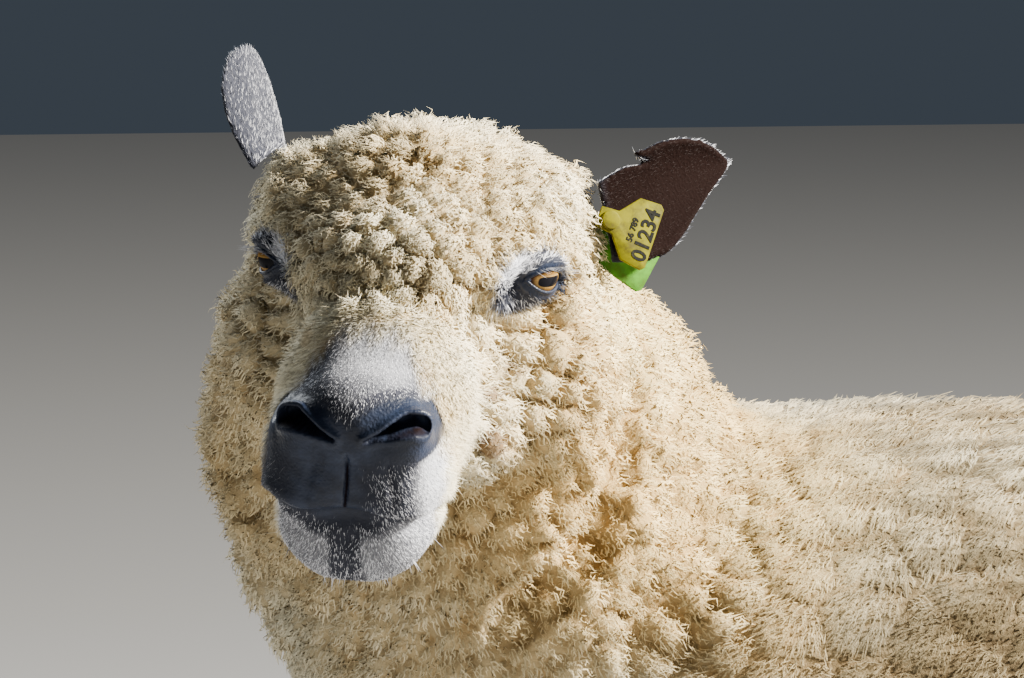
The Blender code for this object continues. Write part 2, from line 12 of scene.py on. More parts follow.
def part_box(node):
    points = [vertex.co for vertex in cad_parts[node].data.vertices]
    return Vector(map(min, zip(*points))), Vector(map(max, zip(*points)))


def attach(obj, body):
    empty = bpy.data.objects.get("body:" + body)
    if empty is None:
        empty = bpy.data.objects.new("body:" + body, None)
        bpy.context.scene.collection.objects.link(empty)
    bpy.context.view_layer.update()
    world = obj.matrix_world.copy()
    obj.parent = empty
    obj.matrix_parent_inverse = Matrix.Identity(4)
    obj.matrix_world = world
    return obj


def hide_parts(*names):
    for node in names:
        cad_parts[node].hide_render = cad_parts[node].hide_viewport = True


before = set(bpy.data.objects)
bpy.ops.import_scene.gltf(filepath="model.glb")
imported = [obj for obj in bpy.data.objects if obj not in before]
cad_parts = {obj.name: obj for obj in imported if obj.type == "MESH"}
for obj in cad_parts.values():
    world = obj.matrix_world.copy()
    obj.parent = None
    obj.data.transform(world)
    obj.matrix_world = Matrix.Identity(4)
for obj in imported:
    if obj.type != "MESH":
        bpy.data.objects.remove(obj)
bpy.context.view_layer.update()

mm = 0.001
sides = (-1, 1)  # right, left


# the head's own frame: origin midway between the eyes, X to the nose, Y to the sheep's left, Z up, in millimetres
headPlan = {
    "heading": -114.4,  # degrees
    "pitch": 26.0,
    "roll": -3.5,
    "eyeCentre": (-3.0, 54.5, 1.5),
    "eyeRadius": 14.5,
    "gaze": (0.62, 0.78, 0.08),
    "eyeForward": (2.2, 3.3),  # how far the finished ball stands out of the CAD one's place, along slit and gaze
}
ball = headPlan["eyeRadius"]


def middleOf(node):
    low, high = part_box(node)
    return np.array((low + high) / 2)


headTurn = (Matrix.Rotation(math.radians(headPlan["heading"]), 3, "Z")
            @ Matrix.Rotation(math.radians(headPlan["pitch"]), 3, "Y")
            @ Matrix.Rotation(math.radians(headPlan["roll"]), 3, "X"))
headAxes = np.array(headTurn)
eyeMiddle = np.array(headPlan["eyeCentre"]) * (1, 0, 1)
browPoint = (middleOf("eye_left") + middleOf("eye_right")) / 2 - headAxes @ eyeMiddle * mm


def toHead(points):  # metres to the head's millimetres
    return (np.asarray(points, float) - browPoint) @ headAxes / mm


def fromHead(points):  # and back
    return browPoint + np.asarray(points, float) @ headAxes.T * mm


# camera
cameraPlan = {
    "azimuth": -12.0,
    "elevation": 4.0,
    "distance": 5.4,
    "lens": 400.0,
    "aimRight": 0.0498,  # from the point between the eyes
    "aimUp": -0.0337,
}


def wayBack(azimuth, elevation):
    a, e = math.radians(azimuth), math.radians(elevation)
    return Vector((math.sin(a) * math.cos(e), -math.cos(a) * math.cos(e), math.sin(e)))


def linked(title, data):
    piece = bpy.data.objects.new(title, data)
    bpy.context.scene.collection.objects.link(piece)
    return piece


def makeCamera():
    back = wayBack(cameraPlan["azimuth"], cameraPlan["elevation"])
    right = Vector((0, 0, 1)).cross(back).normalized()
    up = back.cross(right)
    aim = Vector(browPoint) + right * cameraPlan["aimRight"] + up * cameraPlan["aimUp"]
    camera = linked("camera", bpy.data.cameras.new("camera"))
    camera.location = aim + back * cameraPlan["distance"]
    camera.rotation_euler = Matrix((right, up, back)).transposed().to_euler()
    camera.data.lens = cameraPlan["lens"]
    camera.data.sensor_width = 36.0
    camera.data.clip_end = 100.0
    bpy.context.scene.camera = camera


makeCamera()
print("camera set")


# small helpers
def smooth(low, high, value):  # 0 at low, 1 at high, eased
    t = np.clip((value - low) / (high - low), 0, 1)
    return t * t * (3 - 2 * t)


def unit(rows):
    rows = np.asarray(rows, float)
    return rows / np.maximum(np.linalg.norm(rows, axis=-1, keepdims=True), 1e-12)


def dots(a, b):
    return (a * b).sum(-1, keepdims=True)


def turned(x, y, degrees):  # the same place on axes turned by that angle
    tilt = math.radians(degrees)
    return x * math.cos(tilt) + y * math.sin(tilt), y * math.cos(tilt) - x * math.sin(tilt)


def rangeFrom(points, centre):
    return np.linalg.norm(points - np.array(centre), axis=1)


def pick(*pieces):  # selects only these, the first one active
    if bpy.context.object and bpy.context.object.mode != "OBJECT":
        bpy.ops.object.mode_set(mode="OBJECT")
    bpy.ops.object.select_all(action="DESELECT")
    for piece in pieces:
        piece.select_set(True)
    bpy.context.view_layer.objects.active = pieces[0]


def joined(*pieces):
    pick(*pieces)
    if len(pieces) > 1:
        bpy.ops.object.join()
    return pieces[0]


@contextmanager
def editing(piece, kind="VERT", chosen=None):  # edit mode with the whole mesh selected, or the chosen part
    pick(piece)
    bpy.ops.object.mode_set(mode="EDIT")
    bpy.ops.mesh.select_mode(type=kind)
    bpy.ops.mesh.select_all(action="SELECT" if chosen is None else "DESELECT")
    if chosen is not None:
        bpy.ops.object.mode_set(mode="OBJECT")
        parts = piece.data.polygons if kind == "FACE" else piece.data.vertices
        parts.foreach_set("select", chosen)
        bpy.ops.object.mode_set(mode="EDIT")
    yield
    bpy.ops.object.mode_set(mode="OBJECT")


def added(kind, **settings):  # a new object of one of Blender's own shapes
    bpy.ops.object.select_all(action="DESELECT")
    getattr(bpy.ops.mesh, f"primitive_{kind}_add")(**settings)
    return bpy.context.object


def rowsOf(items, field, width, kind=np.float32):
    rows = np.empty(len(items) * width, kind)
    items.foreach_get(field, rows)
    return rows.reshape(-1, width)


def setRows(items, field, rows):
    items.foreach_set(field, np.asarray(rows, np.float32).ravel())


def pointsOf(piece):
    return rowsOf(piece.data.vertices, "co", 3).astype(float)


def setPoints(piece, points):
    setRows(piece.data.vertices, "co", points)
    piece.data.update()


def normalsOf(piece):
    return rowsOf(piece.data.vertex_normals, "vector", 3).astype(float)


def edgesOf(piece):
    return rowsOf(piece.data.edges, "vertices", 2, np.int32)


def faceCentres(piece):
    return rowsOf(piece.data.polygons, "center", 3).astype(float)


def uvOf(piece):
    return rowsOf(piece.data.uv_layers["OFBake"].data, "uv", 2).astype(float)


def relaxed(points, edges, rounds, strength=0.5, keep=0.52, weight=None):
    # smooths by steps towards the neighbours' middle; each step back, by keep, holds the volume
    a, b = edges.T
    count = np.maximum(np.bincount(edges.ravel(), minlength=len(points)), 1)[:, None]
    weight = 1.0 if weight is None else weight[:, None]
    for step in (strength, -keep) * rounds:
        total = np.stack([np.bincount(a, points[b, k], len(points)) + np.bincount(b, points[a, k], len(points))
                          for k in range(3)], 1)
        points = points + step * weight * (total / count - points)
    return points


def relax(piece, rounds, **settings):
    setPoints(piece, relaxed(pointsOf(piece), edgesOf(piece), rounds, **settings))


def treeOf(places):
    tree = kdtree.KDTree(len(places))
    for i, place in enumerate(places):
        tree.insert(place, i)
    tree.balance()
    return tree


def weldedCopy(title, nodes):  # one object from CAD nodes, their loose triangles merged
    piece = joined(*[linked(title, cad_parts[node].data.copy()) for node in nodes])
    piece.data.materials.clear()
    with editing(piece):
        bpy.ops.mesh.remove_doubles(threshold=0.00002)
    piece.name = title
    return piece


def ballAt(centre, radii, turn=np.eye(3), segments=24, rings=12):  # centre, radii and axes in the head's frame
    piece = added("uv_sphere", segments=segments, ring_count=rings, radius=1)
    setPoints(piece, fromHead(np.array(centre) + (pointsOf(piece) * radii) @ np.asarray(turn).T))
    return piece


def eyeAxes(side):  # the way an eye looks, the way its slit runs outwards, and up across the lids
    gaze = unit(np.array(headPlan["gaze"]) * (1, side, 1))
    slit = unit(np.array((-gaze[1], gaze[0], 0.10 * side))) * side
    return gaze, slit, unit(np.cross(slit, gaze)) * -side


def eyeCentre(side):
    gaze, slit, _ = eyeAxes(side)
    aside, forward = headPlan["eyeForward"]
    return np.array(headPlan["eyeCentre"]) * (1, side, 1) + slit * aside + gaze * forward


def nearEyes(head, far, near):
    return np.maximum(*[smooth(far, near, rangeFrom(head, eyeCentre(side))) for side in (1, -1)])


# skin: the flesh remeshed finest at the face, smoothed, and drawn in by the depth of the coat
skinPlan = {
    "flesh": ["head", "neck", "trunk", "tail"] + [f"leg_{end}_{side}" for end in ("fore", "hind")
                                                  for side in ("left", "right")],
    "voxel": 0.0148,
    "focus": (62.0, 0.0, -28.0),  # where the mesh is finest, in the head's frame
    "gain": 3.6,  # how much finer there
    "reach": 0.120,
    "smoothing": 14,
    "eyePlug": 15.2,  # millimetres; fills the eye's hole, so that the lids can be shaped
    "nosePlug": ((120, 21, -14), (17, 15, 9)),
    "earVoxel": 0.0014,
    "legVoxel": 0.0045,
    "legJoin": 0.256,  # the trunk's mesh ends here, and the legs' own mesh goes up inside it as far as legTop
    "legTop": 0.284,
    "legWoolFrom": (0.262, 0.274),  # wool grows on the trunk above the first, and on the legs below the second
    "legCorner": ((0.45, 0.0), (0.98, 0.13)),  # the legs' part of the unwrap
}


def stretchedRadius(radius):
    return radius + skinPlan["gain"] * skinPlan["reach"] * (1 - np.exp(-radius / skinPlan["reach"]))


def stretched(points, back=False):  # swells space round the face, so that one voxel size gives a graded mesh
    focus = fromHead(skinPlan["focus"])
    away = points - focus
    radius = np.linalg.norm(away, axis=1)
    steps = np.linspace(0, 2.5, 5000)
    other = np.interp(radius, stretchedRadius(steps), steps) if back else stretchedRadius(radius)
    return focus + away * (other / np.maximum(radius, 1e-9))[:, None]


def voxelled(piece, size):
    remesh = piece.modifiers.new("remesh", "REMESH")
    remesh.mode = "VOXEL"
    remesh.voxel_size = size
    pick(piece)
    bpy.ops.object.modifier_apply(modifier=remesh.name)


def refine(piece, chosen):  # cuts the chosen faces once each way
    with editing(piece, "FACE", chosen):
        bpy.ops.mesh.subdivide(number_cuts=1, ngon=False)


def unwrap(piece, low, high):  # into that part of the square; the roots of the coat take their places from it
    with editing(piece):
        bpy.ops.uv.smart_project(angle_limit=math.radians(70), island_margin=0.001)
    layer = piece.data.uv_layers.active
    layer.name = "OFBake"
    setRows(layer.data, "uv", np.array(low) + uvOf(piece) * (np.array(high) - low))


def trimmed(piece, height, keepBelow):  # cut level and closed
    with editing(piece):
        bpy.ops.mesh.bisect(plane_co=(0, 0, height), plane_no=(0, 0, 1), use_fill=True,
                            clear_outer=keepBelow, clear_inner=not keepBelow)
        bpy.ops.mesh.select_all(action="SELECT")
        bpy.ops.mesh.quads_convert_to_tris()


def footPlaces():
    return [(middleOf(f"hoof_{end}_{side}_inner") + middleOf(f"hoof_{end}_{side}_outer"))[:2] / 2
            for end in ("fore", "hind") for side in ("left", "right")]


def nearFeet(points, reach=0.14):
    return np.min([rangeFrom(points[:, :2], foot) for foot in footPlaces()], axis=0) < reach


def makeLegSkin():
    legs = weldedCopy("legs", ["trunk"] + [node for node in skinPlan["flesh"] if node.startswith("leg")])
    top = skinPlan["legTop"]
    trimmed(legs, top + 0.03, True)
    voxelled(legs, skinPlan["legVoxel"])
    points = relaxed(pointsOf(legs), edgesOf(legs), 5)
    setPoints(legs, points)
    normals = normalsOf(legs)
    setPoints(legs, points - normals * 0.009 * smooth(0.266, top, points[:, 2])[:, None])  # ends inside the trunk
    trimmed(legs, top, True)
    with editing(legs, chosen=~nearFeet(pointsOf(legs))):
        bpy.ops.mesh.delete(type="VERT")
    unwrap(legs, *skinPlan["legCorner"])
    return legs, points, normals


def easeOnto(skin, legPoints, legNormals):  # the trunk laid on the legs' surface where they meet
    tree = treeOf(legPoints)
    points = pointsOf(skin)
    for k in np.flatnonzero(nearFeet(points) & (points[:, 2] < 0.31)):
        _, other, _ = tree.find(points[k])
        gap = (points[k] - legPoints[other]) @ legNormals[other] + 0.004 * smooth(0.268, 0.256, points[k, 2])
        points[k] -= legNormals[other] * gap * smooth(0.308, 0.280, points[k, 2])
    setPoints(skin, points)


def makeSkin():
    skin = weldedCopy("skin", skinPlan["flesh"])
    plugs = []
    for side in sides:
        plugs.append(ballAt(eyeCentre(side), skinPlan["eyePlug"]))
        centre, radii = skinPlan["nosePlug"]
        plugs.append(ballAt(np.array(centre) * (1, side, 1), radii))
    joined(skin, *plugs)
    with editing(skin):
        bpy.ops.mesh.subdivide(number_cuts=1)
    setPoints(skin, stretched(pointsOf(skin)))
    voxelled(skin, skinPlan["voxel"])
    setPoints(skin, stretched(pointsOf(skin), back=True))
    relax(skin, skinPlan["smoothing"])
    head = toHead(pointsOf(skin))
    woolly = 1 - smooth(40, 62, head[:, 0]) * smooth(150, 130, rangeFrom(head, (90, 0, -50)))
    woolly = woolly * smooth(0.29, 0.36, pointsOf(skin)[:, 2])
    relax(skin, 50, weight=woolly)
    body = smooth(0.20, 0.32, rangeFrom(pointsOf(skin), fromHead((0, 0, -40))))
    relax(skin, 45, keep=0.42, weight=body * woolly)
    cheeks = (75, 0, -45)
    for reach in (105, 50, 18):  # ever finer towards the nose and the eyes
        centres = toHead(faceCentres(skin))
        near = rangeFrom(centres, (122, -2, -38) if reach == 50 else cheeks) < reach
        for side in sides:
            if reach < 100:
                near |= rangeFrom(centres, eyeCentre(side) + unit(eyeAxes(side)[0]) * 14) < min(reach, 26)
        if reach == 18:
            near &= centres[:, 0] < 60
        refine(skin, near)
        relax(skin, 4, weight=(rangeFrom(toHead(pointsOf(skin)), cheeks) < 125).astype(float))
    centres = faceCentres(skin)
    refine(skin, nearFeet(centres) & (centres[:, 2] < 0.32))
    legs, *legSurface = makeLegSkin()
    easeOnto(skin, *legSurface)
    trimmed(skin, skinPlan["legJoin"], False)
    unwrap(skin, (0.0, 0.14), (1.0, 1.0))
    return joined(skin, legs)


skin = makeSkin()
print("skin remeshed,", len(skin.data.polygons), "faces")


# coat regions: where wool, short hair and bare leather lie
coatPlan = {
    "woolEdge": 63.0,  # how far down the face the wool comes, in the head's frame
    "eyePatch": (25.0, 16.0),  # half length and height of the bare patch round each eye
    "patchMiddle": (-9.0, 1.5),
    "patchTilt": -10.0,
    "legWool": (0.165, 0.225),  # the legs turn from hair to wool between these heights
    "topknotDepth": 8.0,  # millimetres from the skin to the tips
    "bodyDepth": 11.0,
}


def nearLine(points, line):  # distance to a line of points, and how far along it, 0 to 1
    line = np.array(line, float)
    best = np.full(len(points), 1e9)
    along = np.zeros(len(points))
    lengths = np.linalg.norm(np.diff(line, axis=0), axis=1)
    total, before = lengths.sum(), 0.0
    for start, end, length in zip(line, line[1:], lengths):
        way = (end - start) / length
        share = np.clip((points - start) @ way, 0, length)
        away = np.linalg.norm(points - start - share[:, None] * way, axis=1)
        closer = away < best
        best[closer] = away[closer]
        along[closer] = ((before + share) / total)[closer]
        before += length
    return best, along


def mirrored(line, side):
    return [(x, y * side, z) for x, y, z in line]


def eyePlane(head, side):  # an eye's own coordinates: outwards along its slit, up, and out of the head
    gaze, slit, up = eyeAxes(side)
    away = head - eyeCentre(side)
    return away @ slit, away @ up, away @ gaze


def bareLegShare(points):
    return smooth(*coatPlan["legWool"][::-1], points[:, 2])


def coatRegions(points):  # shares of wool, of the bare face and of the eye patches
    head = toHead(points)
    f, l, u = head.T
    nearFace = smooth(135, 118, rangeFrom(head, (90, -4, -50)))
    edge = coatPlan["woolEdge"] + (0.55 * np.clip(-u - 18, 0, 60) - 4) * smooth(20, 45, np.abs(l))
    face = smooth(edge - 7, edge + 15, f) * nearFace
    patch = np.zeros(len(head))
    middleS, middleT = coatPlan["patchMiddle"]
    for side in sides:
        s, t, depth = eyePlane(head, side)
        along, across = turned(s - middleS, t - middleT, coatPlan["patchTilt"])
        spread = np.hypot(along / coatPlan["eyePatch"][0], across / coatPlan["eyePatch"][1])
        patch = np.maximum(patch, smooth(1.12, 0.86, spread) * (depth > -14))
    return (1 - face) * (1 - patch) * (1 - bareLegShare(points)), face, patch


def woolShare(points):
    return coatRegions(points)[0]


def coatDepth(points):
    nearHead = smooth(260, 150, rangeFrom(toHead(points), (-20, 0, -40)))
    woolDepth = coatPlan["bodyDepth"] + (coatPlan["topknotDepth"] - coatPlan["bodyDepth"]) * nearHead
    return (1.0 + (woolDepth - 1.0) * woolShare(points)) * mm


# face: pits, grooves and swellings laid out in the head's frame, in millimetres
facePlan = {
    "nape": ((-0.288, -0.02, 0.69), 0.055, (0.007, -0.002, 0.006)),  # fuller behind the left ear, in metres
    "nostril": [(138, 8, -15), (136, 15, -12.5), (133.5, 22, -10), (130, 28, -8.5), (126.5, 33, -10.5)],
    "nostrilRadius": (1.2, 2.0, 3.4, 5.0, 4.8),
    "nostrilDepth": (5, 9, 14, 15, 9),
    "wingGroove": [(128, 22, 4), (118, 31, -1), (113, 37, -10), (114, 38.5, -21)],
    "philtrum": [(139, -2, -20), (141, -1.5, -29), (141.5, -2, -39), (138, -3.5, -51)],
    "lipCrease": [(137.4, 17.2, -23), (137.8, 19.2, -34), (139, 20.6, -44), (138, 20, -51)],
    "mouth": [(92, -50, -80), (106, -49, -70), (120, -46, -60), (130, -41, -53), (135.7, -33, -54.5),
              (136.4, -25, -56.5), (135, -16, -56.7), (134.5, -4, -54.8), (135.3, 8, -55.4), (135, 17, -58),
              (129.6, 24.6, -61.8), (119.7, 30.5, -65), (106, 35, -69), (90, 38, -74)],
    "jowlFold": [(-94, 93, -70), (-61, 101.5, -72), (-40, 104, -88), (-26, 102.5, -108), (-7, 99, -125),
                 (4, 89.5, -147), (19.5, 72, -164), (28, 54, -177), (32, 35, -191)],
    "temple": [(-8, 76, 13), (-28, 86, 17), (-40, 92, 13)],
    "tearLine": [(12, 58.5, 1.0), (20, 55, 0.5), (29, 50.8, 0), (37, 47, -8)],
    "chinCleft": [(133, -5, -66), (130, -6, -85), (120, -7, -99)],
    "chinStripe": [(133, -5, -56), (131, -6, -85), (118, -7, -104)],
    "chin": ((112, -6, -96), (30, 32, 22), (2, -1, -7)),
    "leftJaw": ((108, -42, -80), (26, 16, 20), (0, -4, 0)),
    "mouthCorners": (((116, -46, -62), 19, 9), ((112, 36, -66), 14, 7)),
}


def frontLine(points, line):  # the same, as seen from the front
    away, along = nearLine(points * (0, 1, 1), np.array(line, float) * (0, 1, 1))
    return away + 20 * smooth(112, 95, points[:, 0]), along


def dent(points, normals, line, width, depth, ends=0.12, measure=nearLine):  # a groove, or a swelling if depth < 0
    away, along = measure(points, line)
    taper = smooth(0, ends, along) * smooth(1, 1 - ends, along)
    return points - normals * (depth * np.exp(-(away / width) ** 2) * taper)[:, None]


def push(points, centre, reach, shift):
    weight = np.exp(-(((points - np.array(centre)) / reach) ** 2).sum(1))
    return points + weight[:, None] * np.array(shift, float)


def nostrilGap(head, side):  # distance from the nostril's line, and its radius there
    away, along = nearLine(head, mirrored(facePlan["nostril"], side))
    return away, along, np.interp(along, np.linspace(0, 1, 5), facePlan["nostrilRadius"])


def shapeNostrils(head, normals):
    stations = np.linspace(0, 1, 5)
    for side in sides:
        head = dent(head, normals, mirrored(facePlan["wingGroove"], side), 3.6, 2.2)
        head = push(head, (124, 33 * side, -9), (9, 8, 9), (1.5, 2.2 * side, 1.0))
        away, along, radius = nostrilGap(head, side)
        depth = np.interp(along, stations, facePlan["nostrilDepth"])
        rim = np.exp(-((away - radius - 1.8) / 1.6) ** 2)
        above = smooth(-4, 3, head[:, 2] - np.interp(along, stations, [p[2] for p in facePlan["nostril"]]))
        pit = smooth(radius * 1.05, radius * 0.5, away)
        head = head + normals * (rim * (0.5 + 1.3 * above) * (1 - pit))[:, None]
        head = head + (pit * depth)[:, None] * unit(np.array((-0.95, -0.16 * side, -0.06)))
    return head


def shapeLips(head, normals):
    mouth = facePlan["mouth"]
    away, _ = nearLine(head, mouth)
    over = head[:, 2] - np.interp(head[:, 1], [p[1] for p in mouth], [p[2] for p in mouth])
    front = smooth(60, 100, head[:, 0])
    head = head + normals * (1.7 * np.exp(-((over - 7.5) / 6) ** 2) * smooth(18, 6, away) * front)[:, None]
    head = head - normals * (1.6 * np.exp(-((over + 5.5) / 5) ** 2) * smooth(16, 5, away) * front)[:, None]
    for name, *settings in (("mouth", 2.2, 6.0, 0.10), ("mouth", 6.0, 1.2, 0.10),
                            ("philtrum", 1.1, 1.8, 0.15, frontLine), ("philtrum", 5.0, 1.6, 0.25, frontLine),
                            ("lipCrease", 1.5, 1.8, 0.3, frontLine)):
        head = dent(head, normals, facePlan[name], *settings)
    for l in (-17, 10):
        head = push(head, (136, l, -42), (10, 10, 12), (2.2, 0, -1.0))
    head = dent(head, normals, mirrored(facePlan["lipCrease"], -1), 2.2, 0.8, 0.3)
    return dent(head, normals, facePlan["chinCleft"], 3.0, 1.2, 0.2)


# eyes: an almond opening between lids that lie on the ball
eyePlan = {
    "centre": (0.4, -2.9),
    "iris": {1: (0.05, -0.13), -1: (-0.30, 0.02)},  # how far each eye turns aside and up from the gaze
    "halfWidth": 12.2,
    "rise": 7.0,
    "drop": 4.4,
    "tilt": -31.0,
    "irisRadius": 9.4,  # millimetres
    "slot": (6.6, 2.6),  # half length and height of the pupil
    "slotTilt": -22.0,
    "cornea": (7.5, 0.9),  # how wide the cornea is, and how far it stands out
    "rim": (0.95, 1.05),  # thickness of the lower and the upper rim
    "lashes": 30,
    "lashLength": 8.5,
    "lashWidth": 0.26,
}


def almond(x):  # heights of the upper and the lower edge at x along the slit
    share = np.clip(np.abs(x) / eyePlan["halfWidth"], 0, 1)
    return eyePlan["rise"] * (1 - share ** 2.3) ** 0.85, eyePlan["drop"] * (1 - share ** 1.9) ** 0.9


def inOpening(head, side):  # how far inside an eye's opening each point is, its place there, and its depth
    s, t, depth = eyePlane(head, side)
    radius = np.sqrt(s * s + t * t + depth * depth)
    onBall = ball / np.maximum(radius, 1e-6)
    x, y = turned(s * onBall - eyePlan["centre"][0], t * onBall - eyePlan["centre"][1], eyePlan["tilt"])
    top, bottom = almond(x)
    inside = np.where(y >= 0, top, bottom) - np.abs(y)
    beyond = np.abs(x) - eyePlan["halfWidth"]
    inside = np.where(beyond > 0, -np.hypot(beyond, np.abs(y)), inside * 0.9)
    return np.where(depth > 0, inside, -40.0), y, radius, depth


def shapeLids(head, side):
    inside, y, radius, depth = inOpening(head, side)
    upper = smooth(-2, 3, y)
    shell = ball + 1.1 + 1.0 * smooth(0, -3, inside) + 0.9 * upper * smooth(-0.5, -3.5, inside)
    shell = shell - 1.3 * np.exp(-((inside + 5.2) / 1.1) ** 2) * upper
    shell = shell - 0.7 * np.exp(-((inside + 4.6) / 1.2) ** 2) * (1 - upper)
    hold = smooth(-12.5, -4.0, inside) * smooth(0, 6, depth) * smooth(ball + 13, ball + 5, radius)
    target = np.where(depth > -8, np.maximum(radius, ball + 1.0), radius)
    target = target + (shell - target) * hold
    target = np.where(inside > -0.4, ball + 1.1 - 4.3 * smooth(-0.4, 0.9, inside), target)
    moved = eyeCentre(side) + (head - eyeCentre(side)) * (target / np.maximum(radius, 1e-6))[:, None]
    return np.where(((inside > -13) & (radius < ball + 14))[:, None], moved, head)


def shapeFace(skin):
    head = push(push(toHead(pointsOf(skin)), *facePlan["chin"]), *facePlan["leftJaw"])
    outwards = normalsOf(skin) @ headAxes
    for side in sides:
        fold = mirrored(facePlan["jowlFold"], side)
        head = dent(head, outwards, fold, 8.0, 14.0)
        head = dent(head, outwards, mirrored(facePlan["temple"], side), 10.0, 5.0)
        head = dent(head, outwards, np.array(fold) + (16, 0, 5), 11.0, -4.0)
    setPoints(skin, fromHead(head))
    points = push(pointsOf(skin), *facePlan["nape"])
    points = points - normalsOf(skin) * coatDepth(points)[:, None]
    points = relaxed(points, edgesOf(skin), 60, keep=0.4, weight=nearEyes(toHead(points), 40, 24))
    points = relaxed(points, edgesOf(skin), 3)
    setPoints(skin, points)
    head = shapeNostrils(toHead(points), normalsOf(skin) @ headAxes)
    setPoints(skin, fromHead(head))
    head = shapeLips(head, normalsOf(skin) @ headAxes)
    corners = np.maximum(*[smooth(far, near, rangeFrom(head, place))
                           for place, far, near in facePlan["mouthCorners"]])
    head = relaxed(head, edgesOf(skin), 24, keep=0.4, weight=corners)
    setPoints(skin, fromHead(head))
    outwards = normalsOf(skin) @ headAxes
    for side in (1, -1):
        head = dent(head, outwards, mirrored(facePlan["tearLine"], side), 3.5, 1.8, 0.15)
    for side in sides:
        head = shapeLids(head, side)
    setPoints(skin, fromHead(head))


shapeFace(skin)
print("face shaped")


# ears: remeshed finely, joined to the skin; their places in the head's frame
earPlans = {
    1: {"node": "ear_left", "root": (-40, 68, 2), "along": (-0.70, 0.71, 0.03), "open": (0.60, 0.45, 0.45),
        "length": 99.0, "corner": 0.0},
    -1: {"node": "ear_right", "root": (-40, -69, 16), "along": (-0.884, -0.372, 0.282), "open": (0.08, -0.72, -0.69),
         "length": 93.0, "corner": 0.15},
}


def earAxes(side):  # the ear's own frame: along it, to its upper margin, out of its cup
    along = unit(np.array(earPlans[side]["along"]))
    out = np.array(earPlans[side]["open"])
    out = unit(out - along * (out @ along))
    return np.stack([along, np.cross(out, along), out], 1)


def inEar(points, side):
    return (toHead(points) - np.array(earPlans[side]["root"])) @ earAxes(side)


def cupShare(normals, side):
    return smooth(-0.1, 0.45, (normals @ headAxes) @ earAxes(side)[:, 2])


def makeEar(side):
    plan = earPlans[side]
    ear = weldedCopy(plan["node"] + "_skin", [plan["node"]])
    voxelled(ear, skinPlan["earVoxel"])
    place = inEar(relaxed(pointsOf(ear), edgesOf(ear), 10), side)
    if side > 0:  # the lower margin runs straighter to the tip
        share = place[:, 0] / plan["length"]
        below = np.clip(6 - place[:, 1], 0, 60)
        above = np.clip(place[:, 1] - 6, 0, 60)
        place[:, 1] += below * 0.38 * smooth(0.45, 1.0, share) - above * 0.16 * smooth(0.3, 0.6, share)
    setPoints(ear, fromHead(np.array(plan["root"]) + place @ earAxes(side).T))
    unwrap(ear, (plan["corner"], 0.0), (plan["corner"] + 0.13, 0.13))
    giveMarks(ear, earMarks(pointsOf(ear), normalsOf(ear), side), (0.3, 0.66, 0.5))
    return ear


# marks: what each point of skin or root of hair is: wool, pale, dirt and painted shade, leather
# strand: how far along to the tip, darkened on wool and skin by painted shade at the roots and in hollows, then the
# chance of its tuft and of its lock
muzzlePlan = {
    "velvetEdge": (80.0, 15.0, 1.1),  # cream wool down to here on the bridge, further by that slope to each side
    "darkEdge": [(0, 138), (8, 132), (16, 124), (26, 114), (35, 110)],  # slate skin from here, by distance sideways
    "rightEdge": 33.0,  # and as far as this to the left side of the lips
    "dirtSpots": [((50, 56, -32), 11), ((60, 53, -60), 11), ((30, 60, -31), 9), ((-4, 30, 66), 7), ((20, -8, 52), 6)],
}


def velvetShare(head):  # the cream wool that is clipped as short as velvet, on the bridge and the sides of the muzzle
    f, l, u = head.T
    start, middle, slope = muzzlePlan["velvetEdge"]
    edge = start + slope * np.clip(np.abs(l) - middle, 0, 30)
    edge = edge + 2.5 * np.sin(l * 0.55 + 1.3 * np.sin(u * 0.31)) + 1.5 * np.sin(l * 1.3 + u * 0.7)
    return smooth(edge + 13, edge - 11, f)


def darkShare(head):  # the slate part of the muzzle, with its notch of white hair between the nostrils
    f, l, u = head.T
    aside, edges = np.array(muzzlePlan["darkEdge"], float).T
    edge = np.interp(np.abs(l + 1.5), aside, edges) - 16 * smooth(-5, -13, u)
    above = smooth(edge - 8, edge + 5, f) * smooth(-30, -26, u)
    right = muzzlePlan["rightEdge"]
    lips = smooth(98, 112, f) * smooth(-22, -30, u) * smooth(right + 5, right - 13, l) * smooth(-61, -55, u)
    chin = 0.9 * smooth(110, 122, f) * smooth(-52, -57, u) * smooth(-73, -60, u) * smooth(28, 14, np.abs(l + 2))
    return np.maximum(np.maximum(above, lips), chin) * smooth(95, 104, f)


def stubbleShare(head):  # where the dark lips have hairs, more on the left side of the face
    _, l, u = head.T
    aside = np.maximum(smooth(-2, 20, l), 0.45 * smooth(18, 40, -l))
    return aside * smooth(-20, -34, u + 0.25 * np.sin(l * 0.9))


